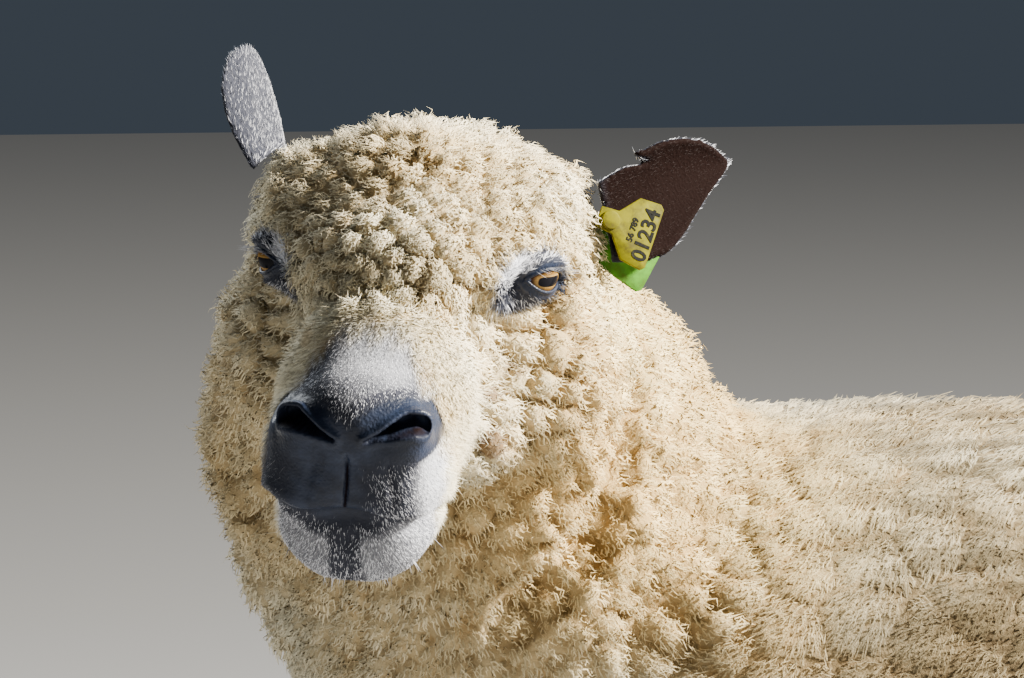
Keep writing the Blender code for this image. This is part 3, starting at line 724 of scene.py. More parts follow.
def paleShare(points, patch):
    head = toHead(points)
    f, l, u = head.T
    pale = 0.48 + 0.22 * smooth(34, 10, np.abs(l - 4)) * smooth(-30, -10, u) - 0.14 * smooth(98, 124, f)
    pale = np.maximum(pale, 0.78 * smooth(18, 34, l) * smooth(-8, -24, u))
    # a darker stripe down the chin's middle: its own dark skin under the lip, with painted shade along the cleft
    stripe, _ = nearLine(head, facePlan["chinStripe"])
    chinPale = 0.20 + 0.44 * smooth(0, 11, stripe)
    pale = pale + (chinPale - pale) * smooth(85, 100, f) * smooth(-58, -66, u)
    dark = darkShare(head)
    pale = pale * (1 - 0.92 * dark) + stubbleShare(head) * 0.48 * dark
    for side in sides:
        s, t, depth = eyePlane(head, side)
        lid = 0.26 + 0.52 * smooth(-4, 9, t + 0.5 * s + 6) * smooth(0, -9, s)
        tear, _ = nearLine(head, mirrored(facePlan["tearLine"], side))
        lid = lid * smooth(2.5, 6.5, tear) + 0.10 * smooth(6, 12, t)
        nearEye = smooth(40, 30, np.hypot(s, t)) * (depth > -16)
        pale = pale + (lid - pale) * nearEye * np.minimum(patch * 1.5, 1)
        inside, _, radius, _ = inOpening(head, side)
        pale = pale * (1 - smooth(-3.5, -1.2, inside) * (radius < ball + 6))
    lowLeg = smooth(0.24, 0.18, points[:, 2])
    return np.clip(pale * (1 - lowLeg) + 0.06 * lowLeg, 0, 1)


def leatherShare(head):  # bare, slate-dark skin: the nose, the lips, the rims of the lids and the tear lines
    bare = smooth(0.45, 1.0, darkShare(head)) * (0.45 + 0.55 * smooth(-66, -56, head[:, 2]))
    bare = bare * (1 - 0.9 * stubbleShare(head))  # the lips keep some stubble at the sides
    for side in sides:
        away, _, radius = nostrilGap(head, side)
        bare = np.maximum(bare, smooth(6.0, 2.5, away - radius))
        inside, _, reach, _ = inOpening(head, side)
        bare = np.maximum(bare, smooth(-3.4, -1.4, inside) * (reach < ball + 6))
        tear, along = nearLine(head, mirrored(facePlan["tearLine"], side))
        bare = np.maximum(bare, smooth(4.2, 2.2, tear) * smooth(1.0, 0.8, along))
    return bare


def creaseShare(head):  # painted shade, near black: the mouth's line, the furrow of the lip and the insides of the nostrils
    mouth, _ = nearLine(head, facePlan["mouth"])
    furrow, along = frontLine(head, facePlan["philtrum"])
    crease, part = frontLine(head, facePlan["lipCrease"])
    dark = np.maximum(smooth(2.6, 1.0, mouth), smooth(0.9, 0.2, furrow) * smooth(0.15, 0.35, along))
    dark = np.maximum(dark, 0.8 * smooth(1.4, 0.5, crease) * smooth(0.1, 0.3, part)) * smooth(100, 112, head[:, 0])
    for side in sides:
        away, _, radius = nostrilGap(head, side)
        dark = np.maximum(dark, smooth(radius * 1.4, radius * 0.5, away))
    return dark


def marksAt(points):
    head = toHead(points)
    wool, _, patch = coatRegions(points)
    # painted shade in the creases and nostrils, then real dirt in the spots
    dirtAndShade = creaseShare(head)
    for centre, reach in muzzlePlan["dirtSpots"]:
        dirtAndShade = np.maximum(dirtAndShade, smooth(reach * 1.5, reach * 0.5, rangeFrom(head, centre)))
    fleece = np.maximum(wool, velvetShare(head) * (1 - patch) * smooth(0.20, 0.24, points[:, 2]))
    return np.stack([fleece, paleShare(points, patch), dirtAndShade, leatherShare(head)], 1)


def earMarks(points, normals, side):  # the cup dark brown, deepened with painted shade; the back pale with a dark lower margin
    place = inEar(points, side)
    cup = cupShare(normals, side)
    pale = (0.46 - 0.3 * smooth(6, 22, -place[:, 1])) * (1 - cup) - 0.15 * cup
    leather = cup * smooth(0.1, 0.3, place[:, 0] / earPlans[side]["length"])
    return np.stack([np.zeros(len(points)), pale, cup, leather], 1)


def giveMarks(piece, marks, strand):  # a row for each point, or one row for all
    count = len(piece.data.vertices)
    for title, kind, field, rows in (("marks", "FLOAT_COLOR", "color", marks),
                                     ("strand", "FLOAT_VECTOR", "vector", strand)):
        layer = piece.data.attributes.new(title, kind, "POINT")
        setRows(layer.data, field, np.broadcast_to(rows, (count, np.shape(rows)[-1])))


# locks of wool: centres spread over the fleece, shared by the lumps of the skin and the tufts
# values by zone stand in this order: topknot, cheek, neck, body
lockPlan = {
    "seed": 11,
    "spacing": (9.5, 11.5, 15.5, 22.0),  # millimetres between locks
    "lump": (7.0, 7.5, 9.0, 0.7),
}


def zoneShares(points):  # how much each point is topknot, cheek, neck and body
    head = toHead(points)
    nearHead = smooth(235, 150, rangeFrom(head, (-10, 0, -50)))
    high = smooth(-25, 15, head[:, 2])
    topknot, cheek = nearHead * high, nearHead * (1 - high)
    neck = (1 - nearHead) * smooth(-0.17, -0.27, points[:, 0] - 0.63 * (points[:, 2] - 0.645))
    return topknot, cheek, neck, 1 - topknot - cheek - neck


def byZone(points, values):
    return sum(share * value for share, value in zip(zoneShares(points), values))


def trianglesOf(piece):  # their points and their corners in the loops
    piece.data.calc_loop_triangles()
    items = piece.data.loop_triangles
    return rowsOf(items, "vertices", 3, np.int32), rowsOf(items, "loops", 3, np.int32)


def scatter(points, normals, triangles, density, chance):  # random places on a surface, at that density
    corners = points[triangles]
    area = np.linalg.norm(np.cross(corners[:, 1] - corners[:, 0], corners[:, 2] - corners[:, 0]), axis=1) / 2
    wanted = np.cumsum(area * density)
    count = int(wanted[-1])
    steps = (np.arange(count) + chance.random(count)) / count * wanted[-1]
    chosen = np.searchsorted(wanted, steps).clip(0, len(triangles) - 1)
    a, b = chance.random((2, count))
    over = a + b > 1
    a[over], b[over] = 1 - a[over], 1 - b[over]
    shares = np.stack([1 - a - b, a, b], 1)[:, :, None]
    own = triangles[chosen]
    return (points[own] * shares).sum(1), unit((normals[own] * shares).sum(1)), chosen, shares


def spreadLocks(skin):
    chance = np.random.default_rng(lockPlan["seed"])
    points = pointsOf(skin)
    triangles, _ = trianglesOf(skin)
    middle = points[triangles].mean(1)
    spacing = byZone(middle, lockPlan["spacing"]) * mm
    density = 2.2 / spacing ** 2 * (woolShare(middle) > 0.3)
    places, _, _, _ = scatter(points, normalsOf(skin), triangles, density, chance)
    places = places[chance.permutation(len(places))]
    gap = byZone(places, lockPlan["spacing"]) * mm * chance.uniform(0.75, 1.2, len(places))
    tree = treeOf(places)
    taken = np.zeros(len(places), bool)
    kept = []
    for i, place in enumerate(places):
        if taken[i]:
            continue
        kept.append(i)
        for _, other, _ in tree.find_range(place, gap[i]):
            taken[other] = True
    return {"place": places[kept], "gap": gap[kept], "chance": chance.random((len(kept), 4)),
            "tree": treeOf(places[kept])}


def lumpsAt(points, locks):  # how high the fleece swells, how far from a hollow, the way out of the lump, and its lock
    found = [locks["tree"].find_n(point, 2) for point in points]
    lock = np.array([near[0][1] for near in found])
    near, further = np.array([[near[0][2], near[1][2]] for near in found]).T
    gap = locks["gap"][lock]
    ridge = 1 - np.exp(-3.0 * (further - near) / gap)
    height = byZone(points, lockPlan["lump"]) * (0.6 + 0.8 * locks["chance"][lock, 0])
    outward = (points - locks["place"][lock]) / gap[:, None]
    return (ridge * 1.15 - 0.6) * height * woolShare(points) * mm, ridge, outward, lock


def raiseLumps(skin, locks):  # gives back how far each point is from a hollow
    points = pointsOf(skin)
    lift, ridge, _, _ = lumpsAt(points, locks)
    wool = woolShare(points)
    setPoints(skin, points + normalsOf(skin) * (lift - 0.9 * mm * wool)[:, None])
    return np.where(wool > 0.02, ridge, 1.0)


locks = spreadLocks(skin)
print(len(locks["place"]), "locks")
smoothNormals, smoothPoints = normalsOf(skin), pointsOf(skin)
dimple = raiseLumps(skin, locks)
# painted shade: the skin under the wool takes the root colour, darker still in the hollows between lumps
giveMarks(skin, marksAt(pointsOf(skin)), np.stack([0.10 + 0.17 * dimple, 0.70 + 0 * dimple, 0.5 + 0 * dimple], 1))


# tufts: every one a thin three-sided spike along a short path, made in one mesh for each piece of coat
def spikeFaces(rings):  # corners of one spike's faces, and their sizes
    faces, sizes = [], []
    for k in range(rings):
        for i in range(3):
            foot, other = 3 * k + i, 3 * k + (i + 1) % 3
            faces += [foot, other, other + 3, foot + 3] if k < rings - 1 else [foot, other, 3 * rings]
            sizes.append(4 if k < rings - 1 else 3)
    return faces + [0, 2, 1], sizes + [3]


def growTufts(title, paths, normals, widths, marks, strand, uv, softness=0.0, light=None):
    # paths: tufts x (rings + tip) x 3; softness bends the shading towards the given normals, as in a fine fleece
    count, rings = len(paths), paths.shape[1] - 1
    forward = unit(np.gradient(paths, axis=1))
    side = unit(np.cross(forward, normals[:, None, :]))
    up = np.cross(side, forward)
    wide = widths[:, None, None] * (1 - 0.7 * np.linspace(0, 1, rings + 1)[None, :rings, None])
    ring, side, up = paths[:, :rings], side[:, :rings], up[:, :rings]
    corners = np.stack([ring - side * wide / 2, ring + up * wide * 0.45, ring + side * wide / 2], 2)
    points = np.concatenate([corners.reshape(count, rings * 3, 3), paths[:, rings:]], 1)
    faces, sizes = spikeFaces(rings)
    each = 3 * rings + 1
    loops = (np.arange(count)[:, None] * each + np.array(faces)[None]).ravel()
    mesh = bpy.data.meshes.new(title)
    mesh.vertices.add(count * each)
    setRows(mesh.vertices, "co", points)
    mesh.loops.add(len(loops))
    mesh.loops.foreach_set("vertex_index", loops.astype(np.int32))
    starts = np.concatenate([[0], np.cumsum(np.tile(sizes, count))[:-1]])
    mesh.polygons.add(len(starts))
    mesh.polygons.foreach_set("loop_start", starts.astype(np.int32))
    mesh.update(calc_edges=True)
    mesh.shade_smooth()
    piece = linked(title, mesh)
    along = np.append(np.repeat(np.arange(rings), 3), rings) / rings
    across = np.append(np.tile([-1, 0, 1], rings), 0)
    patch = np.stack([across, 2 * along - 1], 1) * 0.0014
    setRows(mesh.uv_layers.new(name="OFBake").data, "uv", (uv[:, None] + patch[None]).reshape(-1, 2)[loops])
    rows = np.empty((count, each, 3))
    # painted shade: the first value falls towards the root and with the given light
    rows[:, :, 0] = along if light is None else (0.60 + 0.40 * along) * light[:, None]
    rows[:, :, 1:] = strand[:, None, :]
    giveMarks(piece, np.repeat(marks, each, axis=0), rows.reshape(-1, 3))
    if softness:
        soft = normalsOf(piece) * (1 - softness) + np.repeat(normals, each, axis=0) * softness
        mesh.normals_split_custom_set_from_vertices(unit(soft))
    print(title, count, "tufts,", count * (6 * rings - 2), "triangles")
    return piece


# where every kind of wool grows, its spacing, shape and curl, in millimetres and by zone
woolPlan = {
    "seed": 5,
    "spacing": (1.7, 2.28, 1.5, 2.4),
    "rise": (3.2, 3.1, 3.2, 3.4),
    "sweep": (2.6, 2.8, 3.2, 4.8),
    "pull": (0.10, -0.05, -0.05, 0.20),
    "curl": (1.7, 1.7, 1.8, 1.7),
    "width": (0.85, 0.92, 0.95, 0.85),
    "turns": 1.0,
    "splay": 0.9,  # how far the tufts of a lump fan outwards
    "softness": 0.85,
    "sink": 1.0,
    "growth": 2.1,  # tufts grow this much wider and further apart
    "growthReach": (0.30, 0.62),  # between these distances from the face
    "farSide": 1.7,  # and by this much on the right side
    "crown": (-20.0, 0.0, 55.0),  # the topknot's parting point, in the head's frame
}


def flat(ways, normals):  # laid along the surface
    return unit(ways - normals * dots(ways, normals))


def woolLie(points, normals):  # the way the wool lies
    head = toHead(points)
    topknot, cheek, neck, body = (share[:, None] for share in zoneShares(points))
    flank = np.abs(normals[:, 1:2])
    bodyWay = np.concatenate([np.full_like(flank, 0.55), np.zeros_like(flank), 0.85 * flank - 0.05], 1)
    rump = smooth(0.36, 0.48, points[:, 0:1])
    bodyWay = bodyWay * (1 - rump) + rump * np.array([0.2, 0, -0.9])
    low = smooth(0.42, 0.30, points[:, 2:3])
    bodyWay = bodyWay * (1 - low) + low * np.array([0.15, 0, -0.9])
    neckWay = 0.7 * unit(points - fromHead((20, 0, -40))) + np.array([0.25, 0, -0.65])
    crown = unit(head - np.array(woolPlan["crown"])) + np.array([0.35, 0, -0.25])
    cheekWay = np.stack([np.full(len(head), -0.45), 0.2 * np.sign(head[:, 1]), np.full(len(head), -0.8)], 1)
    return flat(body * bodyWay + neck * neckWay + (topknot * unit(crown) + cheek * cheekWay) @ headAxes.T, normals)


def woolGrowth(points):
    away = rangeFrom(points, fromHead((60, 0, -30)))
    side = smooth(-0.02, 0.08, points[:, 1]) * smooth(0.16, 0.26, away)
    growth = 1 + (woolPlan["growth"] - 1) * smooth(*woolPlan["growthReach"], away)
    return growth * (1 + (woolPlan["farSide"] - 1) * side) * (1 + 0.25 * smooth(0.38, 0.30, points[:, 2]))


def woolSpacing(points):
    fringe = smooth(45, 25, rangeFrom(toHead(points), (52, 0, 14)))  # closest over the top of the nose
    return byZone(points, woolPlan["spacing"]) * woolGrowth(points) * (1 - 0.28 * fringe) * mm


def woolPaths(points, normals, rings, chance):
    lie = woolLie(points, normals)
    across = np.cross(normals, lie)
    count = len(points)
    _, ridge, outward, lock = lumpsAt(points, locks)
    lockChance = locks["chance"][lock]
    outward = outward - normals * dots(outward, normals)
    inward = -outward * locks["gap"][lock][:, None]
    wool = woolShare(points)
    topknot, cheek, _, body = zoneShares(points)
    pointed = (lockChance[:, 3] < 0.3) & (topknot + cheek > 0.5)  # some locks draw to a point
    fan = np.where(pointed, 0.3, woolPlan["splay"] * (1 - 0.8 * body))
    out = unit(normals + outward * fan[:, None])
    growth = woolGrowth(points)
    spiky = np.where(chance.random(count) < 0.03, 1.5, 1.0) * np.where(pointed, 1.35, 1.0)
    size = (0.45 + 0.55 * wool) * chance.uniform(0.75, 1.25, count) * (0.8 + 0.4 * lockChance[:, 0])
    rise = byZone(points, woolPlan["rise"]) * size * spiky * mm
    sweep = byZone(points, woolPlan["sweep"]) * size * (0.75 + 0.25 * growth) * mm
    pull = byZone(points, woolPlan["pull"]) * chance.uniform(0.5, 1.3, count) + 0.10 * pointed
    curl = byZone(points, woolPlan["curl"]) * size * chance.uniform(0.6, 1.3, count) * mm
    phase = 2 * math.pi * (lockChance[:, 1] + chance.normal(0, 0.25, count))
    spin = np.where(lockChance[:, 2] + chance.normal(0, 0.2, count) > 0.5, 1, -1)
    lean = chance.uniform(-1.0, 1.0, count)[:, None, None]
    t = np.linspace(0, 1, rings + 1)[None, :, None] ** 0.8
    angle = phase[:, None, None] + spin[:, None, None] * 2 * math.pi * woolPlan["turns"] * t
    second = np.cos(lean) * across[:, None] + np.sin(lean) * normals[:, None]
    swing = curl[:, None, None] * t ** 0.7 * (np.cos(angle) * lie[:, None] + np.sin(angle) * second)
    paths = (points - normals * woolPlan["sink"] * mm)[:, None] + out[:, None] * rise[:, None, None] * t ** 0.85
    paths = paths + lie[:, None] * sweep[:, None, None] * t ** 1.4 + inward[:, None] * pull[:, None, None] * t ** 1.2
    widths = byZone(points, woolPlan["width"]) * growth * chance.uniform(0.7, 1.3, count) * (0.6 + 0.4 * wool) * mm
    # painted shade: darker in the hollows between lumps and low on the flank; over the body partly the fleece's own
    # duller tone
    flank = body * smooth(0.66, 0.50, points[:, 2])
    light = (1 - (1 - 0.8 * body) * 0.85 * (1 - ridge)) * (1 - 0.25 * body - 0.18 * flank)
    return paths + swing, out, widths, np.stack([chance.random(count), lockChance[:, 3]], 1), light


def rootsOn(piece, density, chance, points=None, normals=None):  # places, normals and places on the unwrap
    points = pointsOf(piece) if points is None else points
    normals = normalsOf(piece) if normals is None else normals
    triangles, loops = trianglesOf(piece)
    thin = 1.0
    wanted = thin * density(points[triangles].mean(1))
    places, ways, chosen, shares = scatter(points, normals, triangles, wanted, chance)
    return places, ways, (uvOf(piece)[loops[chosen]] * shares).sum(1)


def growWool(skin):
    chance = np.random.default_rng(woolPlan["seed"])
    places, normals, uv = rootsOn(skin, lambda at: (woolShare(at) > 0.12) / woolSpacing(at) ** 2, chance,
                                  smoothPoints, smoothNormals)
    trunkFrom, legsTo = skinPlan["legWoolFrom"]
    onLegs = uv[:, 1] < skinPlan["legCorner"][1][1]
    shown = np.where(onLegs, places[:, 2] < legsTo, (places[:, 2] > trunkFrom) | ~nearFeet(places, 0.11))
    places, normals, uv = places[shown], normals[shown], uv[shown]
    places = places + normals * lumpsAt(places, locks)[0][:, None]
    topknot, cheek, neck, _ = zoneShares(places)
    headLeft = toHead(places)[:, 1] > 0
    left = places[:, 1] < 0
    onHead = topknot + cheek > 0.5
    onTop = onHead & (topknot > 0.5)
    onNeck = ~onHead & (neck > 0.5)
    onBody = ~onHead & ~onNeck
    low = places[:, 2] < 0.36
    rear = places[:, 0] > 0.22
    pieces = {
        "wool_topknot": onTop,
        "wool_cheek_left": onHead & ~onTop & headLeft,
        "wool_cheek_right": onHead & ~onTop & ~headLeft,
        "wool_neck_left": onNeck & left,
        "wool_neck_right": onNeck & ~left,
        "wool_legs": onBody & low,
        "wool_rump": onBody & ~low & rear,
        "wool_flank_left": onBody & ~low & ~rear & left,
        "wool_flank_right": onBody & ~low & ~rear & ~left,
    }
    grown = []
    for title, own in pieces.items():
        rings = 3 if "topknot" in title or "cheek" in title else 2
        paths, out, widths, strand, light = woolPaths(places[own], normals[own], rings, chance)
        grown.append(growTufts(title, paths, out, widths, marksAt(places[own]), strand, uv[own],
                               woolPlan["softness"], light))
    return grown


woolPieces = growWool(skin)


# short hair on the face, the ears and the legs, in millimetres
hairPlan = {
    "seed": 21,
    "face": {"spacing": 0.92, "length": (2.4, 5.4), "width": 0.42},  # lengths of the hair and of the velvety wool
    "leg": {"spacing": 2.6, "length": 7.5, "width": 1.1},
    "ear": {"spacing": 1.05, "length": 3.4, "width": 0.34},
}


def hairRoots(piece, kind, seed, share):  # where hair grows, from the share of it that the surface carries
    chance = np.random.default_rng(hairPlan["seed"] + seed)
    spacing = hairPlan[kind]["spacing"] * mm
    return chance, *rootsOn(piece, lambda at: share(at) / spacing ** 2, chance)


def hairPaths(points, normals, ways, lengths, rise, spread, chance):
    count = len(points)
    across = np.cross(normals, ways)
    ways = unit(ways + across * (chance.normal(0, 1, count) * spread)[:, None])
    lift = rise * chance.uniform(0.6, 1.4, count)
    root = points - normals * 0.3 * mm
    long = (lengths * chance.uniform(0.7, 1.3, count) * mm)[:, None]
    return np.stack([root, root + long * unit(ways + normals * lift[:, None])], 1)


def faceLie(points, normals):  # down the bridge to the nose, then back along the jaw, and away from the eyes
    head = toHead(points)
    _, l, u = head.T
    down = smooth(-10, -45, u)[:, None]
    sideways = np.clip(l / 40, -1, 1)[:, None]
    way = (1 - down) * np.array([0.8, 0, -0.45]) + down * np.array([-0.35, 0, -0.85])
    way = way + sideways * np.array([0, 0.45, 0]) * (0.4 + 0.6 * down)
    for side in sides:
        s, t, depth = eyePlane(head, side)
        near = (smooth(36, 26, np.hypot(s, t)) * (depth > -16))[:, None]
        _, slit, up = eyeAxes(side)
        out = s[:, None] * slit * 0.6 + t[:, None] * up + slit * 9
        way = way * (1 - near) + near * unit(out)
    return flat(way @ headAxes.T, normals)


def hairyShare(points):
    hairy = np.clip((1 - woolShare(points)) * (1 - bareLegShare(points)), 0, 1)
    hairy = hairy * smooth(0.97, 0.25, leatherShare(toHead(points)))
    return np.where(hairy > 0.05, hairy, 0)


def growFaceHair(skin):
    chance, places, normals, uv = hairRoots(skin, "face", 0, hairyShare)
    head = toHead(places)
    short, long = hairPlan["face"]["length"]
    bridge = velvetShare(head)
    lengths = (short + (long - short) * bridge) * (1 - 0.35 * nearEyes(head, 30, 20))
    chin = smooth(95, 105, head[:, 0]) * smooth(-76, -86, head[:, 2])
    whisker = chance.random(len(places)) < 0.012 * chin
    lengths = np.where(whisker, lengths * 4, lengths) * (1 + 0.7 * smooth(0.1, 0.6, woolShare(places)))
    paths = hairPaths(places, normals, faceLie(places, normals), lengths, 0.30 + 0.45 * bridge + 0.4 * whisker,
                      0.28 + 0.5 * bridge, chance)
    widths = hairPlan["face"]["width"] * mm * chance.uniform(0.7, 1.3, len(places)) * (1 + 0.5 * bridge)
    strand = chance.random((len(places), 2))
    return growTufts("hair_face", paths, normals, widths, marksAt(places), strand, uv, 0.6, np.ones(len(places)))


def growLegHair(skin):
    chance, places, normals, uv = hairRoots(skin, "leg", 1, bareLegShare)
    ways = flat(np.tile([0.12, 0, -1.0], (len(places), 1)), normals)
    lengths = hairPlan["leg"]["length"] * smooth(0.02, 0.07, places[:, 2])
    paths = hairPaths(places, normals, ways, lengths, 0.16, 0.15, chance)
    widths = hairPlan["leg"]["width"] * mm * chance.uniform(0.7, 1.3, len(places))
    return growTufts("hair_legs", paths, normals, widths, marksAt(places), chance.random((len(places), 2)), uv)


def growEarHair(ear, side):
    chance, places, normals, uv = hairRoots(ear, "ear", 4 + side, lambda at: np.ones(len(at)))
    cup = cupShare(normals, side)
    ways = flat(np.tile(headAxes @ earAxes(side)[:, 0], (len(places), 1)), normals)
    paths = hairPaths(places, normals, ways, hairPlan["ear"]["length"] * (1 - 0.3 * cup), 0.14, 0.2, chance)
    widths = hairPlan["ear"]["width"] * mm * chance.uniform(0.7, 1.4, len(places)) * (1.5 - 0.5 * cup)
    return growTufts("hair_" + earPlans[side]["node"], paths, normals, widths, earMarks(places, normals, side),
                     chance.random((len(places), 2)), uv)


hairPieces = [growFaceHair(skin), growLegHair(skin)]
for side in sides:
    ear = makeEar(side)
    hairPieces.append(growEarHair(ear, side))
    joined(skin, ear)
skin.name = "skin"
print("skin whole,", len(skin.data.polygons), "faces")


# eyes: the ball with a slight cornea, and an attribute across the iris for its colours
def makeEye(side):
    title = "eye_left" if side > 0 else "eye_right"
    gaze, slit, up = eyeAxes(side)
    across, high = eyePlan["iris"][side]
    look = unit(gaze + slit * across + up * high)
    right = unit(slit - look * (slit @ look))
    turn = np.stack([right, np.cross(look, right), look], 1)
    eye = added("uv_sphere", segments=64, ring_count=40, radius=1)
    eye.name = title + "_ball"
    local = pointsOf(eye) * ball
    wide, high = eyePlan["cornea"]
    bulge = high * np.clip(1 - (np.hypot(local[:, 0], local[:, 1]) / wide) ** 2, 0, 1) * (local[:, 2] > 0)
    local = local * (1 + bulge / ball)[:, None]
    setPoints(eye, fromHead(eyeCentre(side) + local @ turn.T))
    eye.data.shade_smooth()
    flip = 1 if turn[:, 1] @ up > 0 else -1
    setRows(eye.data.attributes.new("iris", "FLOAT_VECTOR", "POINT").data, "vector", local * (1, flip, 1))
    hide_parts(title)
    return eye


def openingPoint(side, x, y, radius):  # a point on the opening's own axes, at that distance from the eye's centre
    s, t = turned(x, y, -eyePlan["tilt"])
    s, t = s + eyePlan["centre"][0], t + eyePlan["centre"][1]
    gaze, slit, up = eyeAxes(side)
    depth = math.sqrt(max(ball * ball - s * s - t * t, 1.0))
    return eyeCentre(side) + unit(slit * s + up * t + gaze * depth) * radius


def rimOutline(count=56):
    angles = 2 * math.pi * np.arange(count) / count
    x = eyePlan["halfWidth"] * 0.995 * np.cos(angles)
    top, bottom = almond(x)
    return x, np.where(np.sin(angles) > 0, top, -bottom)


def makeRims(side):  # the dark wet edges of the lids, one closed ring
    x, y = rimOutline()
    centres = np.array([openingPoint(side, a, b, ball + 0.85) for a, b in zip(x, y)])
    centres = (np.roll(centres, 1, 0) + 2 * centres + np.roll(centres, -1, 0)) / 4
    along = unit(np.roll(centres, -1, 0) - np.roll(centres, 1, 0))
    out = unit(centres - eyeCentre(side))
    across = np.cross(along, out)
    lower, upper = eyePlan["rim"]
    thick = np.where(y > 0, upper, lower)
    thick = (np.roll(thick, 2) + np.roll(thick, -2) + thick) / 3
    corners = 8
    turns = (np.arange(corners) * 2 * math.pi / corners)[None, :, None]
    ring = centres[:, None] + thick[:, None, None] * (np.cos(turns) * out[:, None] + np.sin(turns) * across[:, None])
    faces = []
    for i in range(len(x)):
        after = (i + 1) % len(x) * corners
        for k in range(corners):
            other = (k + 1) % corners
            faces.append((i * corners + k, i * corners + other, after + other, after + k))
    mesh = bpy.data.meshes.new("rims")
    mesh.from_pydata(fromHead(ring.reshape(-1, 3)).tolist(), [], faces)
    rims = linked("rims", mesh)
    with editing(rims):
        bpy.ops.mesh.normals_make_consistent(inside=False)
    return rims


def makeBead(side):  # the dark flesh in the inner corner
    inner = openingPoint(side, -eyePlan["halfWidth"] * 0.93, -0.3, ball - 0.3)
    return ballAt(inner, (1.7, 2.6, 1.4), np.stack(eyeAxes(side), 1), 16, 8)


def growLashes(side):
    chance = np.random.default_rng(40 + side)
    gaze, slit, up = eyeAxes(side)
    count = eyePlan["lashes"]
    x = np.linspace(-0.72, 0.94, count) * eyePlan["halfWidth"] + chance.normal(0, 0.15, count)
    roots = np.array([openingPoint(side, a, b + 0.7, ball + 1.5) for a, b in zip(x, almond(x)[0])])
    ways = unit(gaze + 0.35 * up + slit * (x / 22)[:, None] + chance.normal(0, 0.10, (count, 3)))
    long = (eyePlan["lashLength"] * chance.uniform(0.65, 1.15, count))[:, None]
    droop = -0.30 * up + 0.25 * slit
    steps = [roots + ways * long * t + droop * long * t * t for t in (0, 0.35, 0.7, 1.0)]
    paths = fromHead(np.stack(steps, 1).reshape(-1, 3)).reshape(count, 4, 3)
    normals = np.tile(headAxes @ up, (count, 1))
    widths = np.full(count, eyePlan["lashWidth"] * mm)
    marks = np.tile([0.0, 0.8, 0.0, 0.0], (count, 1))
    near = np.full((count, 2), 0.06) + chance.random((count, 2)) * 0.01
    title = "lashes_left" if side > 0 else "lashes_right"
    return growTufts(title, paths, normals, widths, marks, chance.random((count, 2)) * 0.5, near)


eyePieces = []
for side in sides:
    eyePieces.append(makeEye(side))
    parts = makeRims(side), makeBead(side)
    for part in parts:
        giveMarks(part, (0.0, 0.0, 0.0, 1.0), (0.5, 0.5, 0.5))
        if not part.data.uv_layers:
            part.data.uv_layers.new(name="OFBake")
        part.data.uv_layers[0].name = "OFBake"
        setRows(part.data.uv_layers[0].data, "uv", np.array([0.30, 0.02]) + uvOf(part) * 0.004)
    joined(skin, *parts)
    hairPieces.append(growLashes(side))
skin.data.shade_smooth()
print("eyes set")


# ear tag: two plates on one pin, with plain numbers, in millimetres
tagPlan = {
    "pin": (20.0, -2.0, 10.0),  # in the left ear's frame
    "swing": -42.0,
    "tilt": 6.0,
    "thickness": 1.5,
    "bevel": 0.35,
    "stud": (4.6, 1.6),
    "numbers": {"tag_number": ("01234", 10.6, 19.5), "tag_small_number": ("56 789", 4.4, 12.3)},
}


def onTag(piece):  # from the plate's own millimetres to the world
    earTurn = Matrix(earAxes(1).tolist()).to_4x4()
    earTurn.translation = Vector(earPlans[1]["root"])
    turn = (earTurn @ Matrix.Translation(tagPlan["pin"])
            @ Matrix.Rotation(math.radians(tagPlan["swing"]), 4, "Z")
            @ Matrix.Rotation(math.radians(-tagPlan["tilt"]), 4, "Y"))
    setPoints(piece, fromHead(np.array([turn @ Vector(p) for p in pointsOf(piece)])))
    return piece


def makePlate(node):
    plate = weldedCopy(node + "_plate", [node])
    with editing(plate):
        bpy.ops.mesh.dissolve_limited(angle_limit=math.radians(3))
        bpy.ops.mesh.bevel(offset=tagPlan["bevel"] * mm, segments=2, affect="EDGES")
    bpy.ops.object.shade_smooth_by_angle(angle=math.radians(35))
    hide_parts(node)
    return plate


def makeStud():
    radius, height = tagPlan["stud"]
    stud = added("cylinder", vertices=32, radius=radius, depth=height)
    stud.name = "tag_stud"
    setPoints(stud, pointsOf(stud) + (0, 0, tagPlan["thickness"] + height / 2))
    with editing(stud):
        bpy.ops.mesh.bevel(offset=0.5, segments=3, affect="EDGES")
    bpy.ops.object.shade_smooth_by_angle(angle=math.radians(40))
    return onTag(stud)


def makeNumber(title, body, size, place):
    bpy.ops.object.select_all(action="DESELECT")
    bpy.ops.object.text_add()
    text = bpy.context.object.data
    text.body = body
    text.size = size
    text.align_x = "CENTER"
    text.align_y = "CENTER"
    text.extrude = 0.12
    text.offset = 0.023 * size
    text.resolution_u = 3
    bpy.ops.object.convert(target="MESH")
    number = bpy.context.object
    number.name = title
    x, y = turned(*pointsOf(number)[:, :2].T, -90)
    setPoints(number, np.stack([x + place, y, pointsOf(number)[:, 2] + tagPlan["thickness"] + 0.08], 1))
    return onTag(number)


tagFront = makePlate("tag_front")
tagBack = makePlate("tag_back")
tagStud = makeStud()
numbers = [makeNumber(title, *settings) for title, settings in tagPlan["numbers"].items()]
print("tag made")


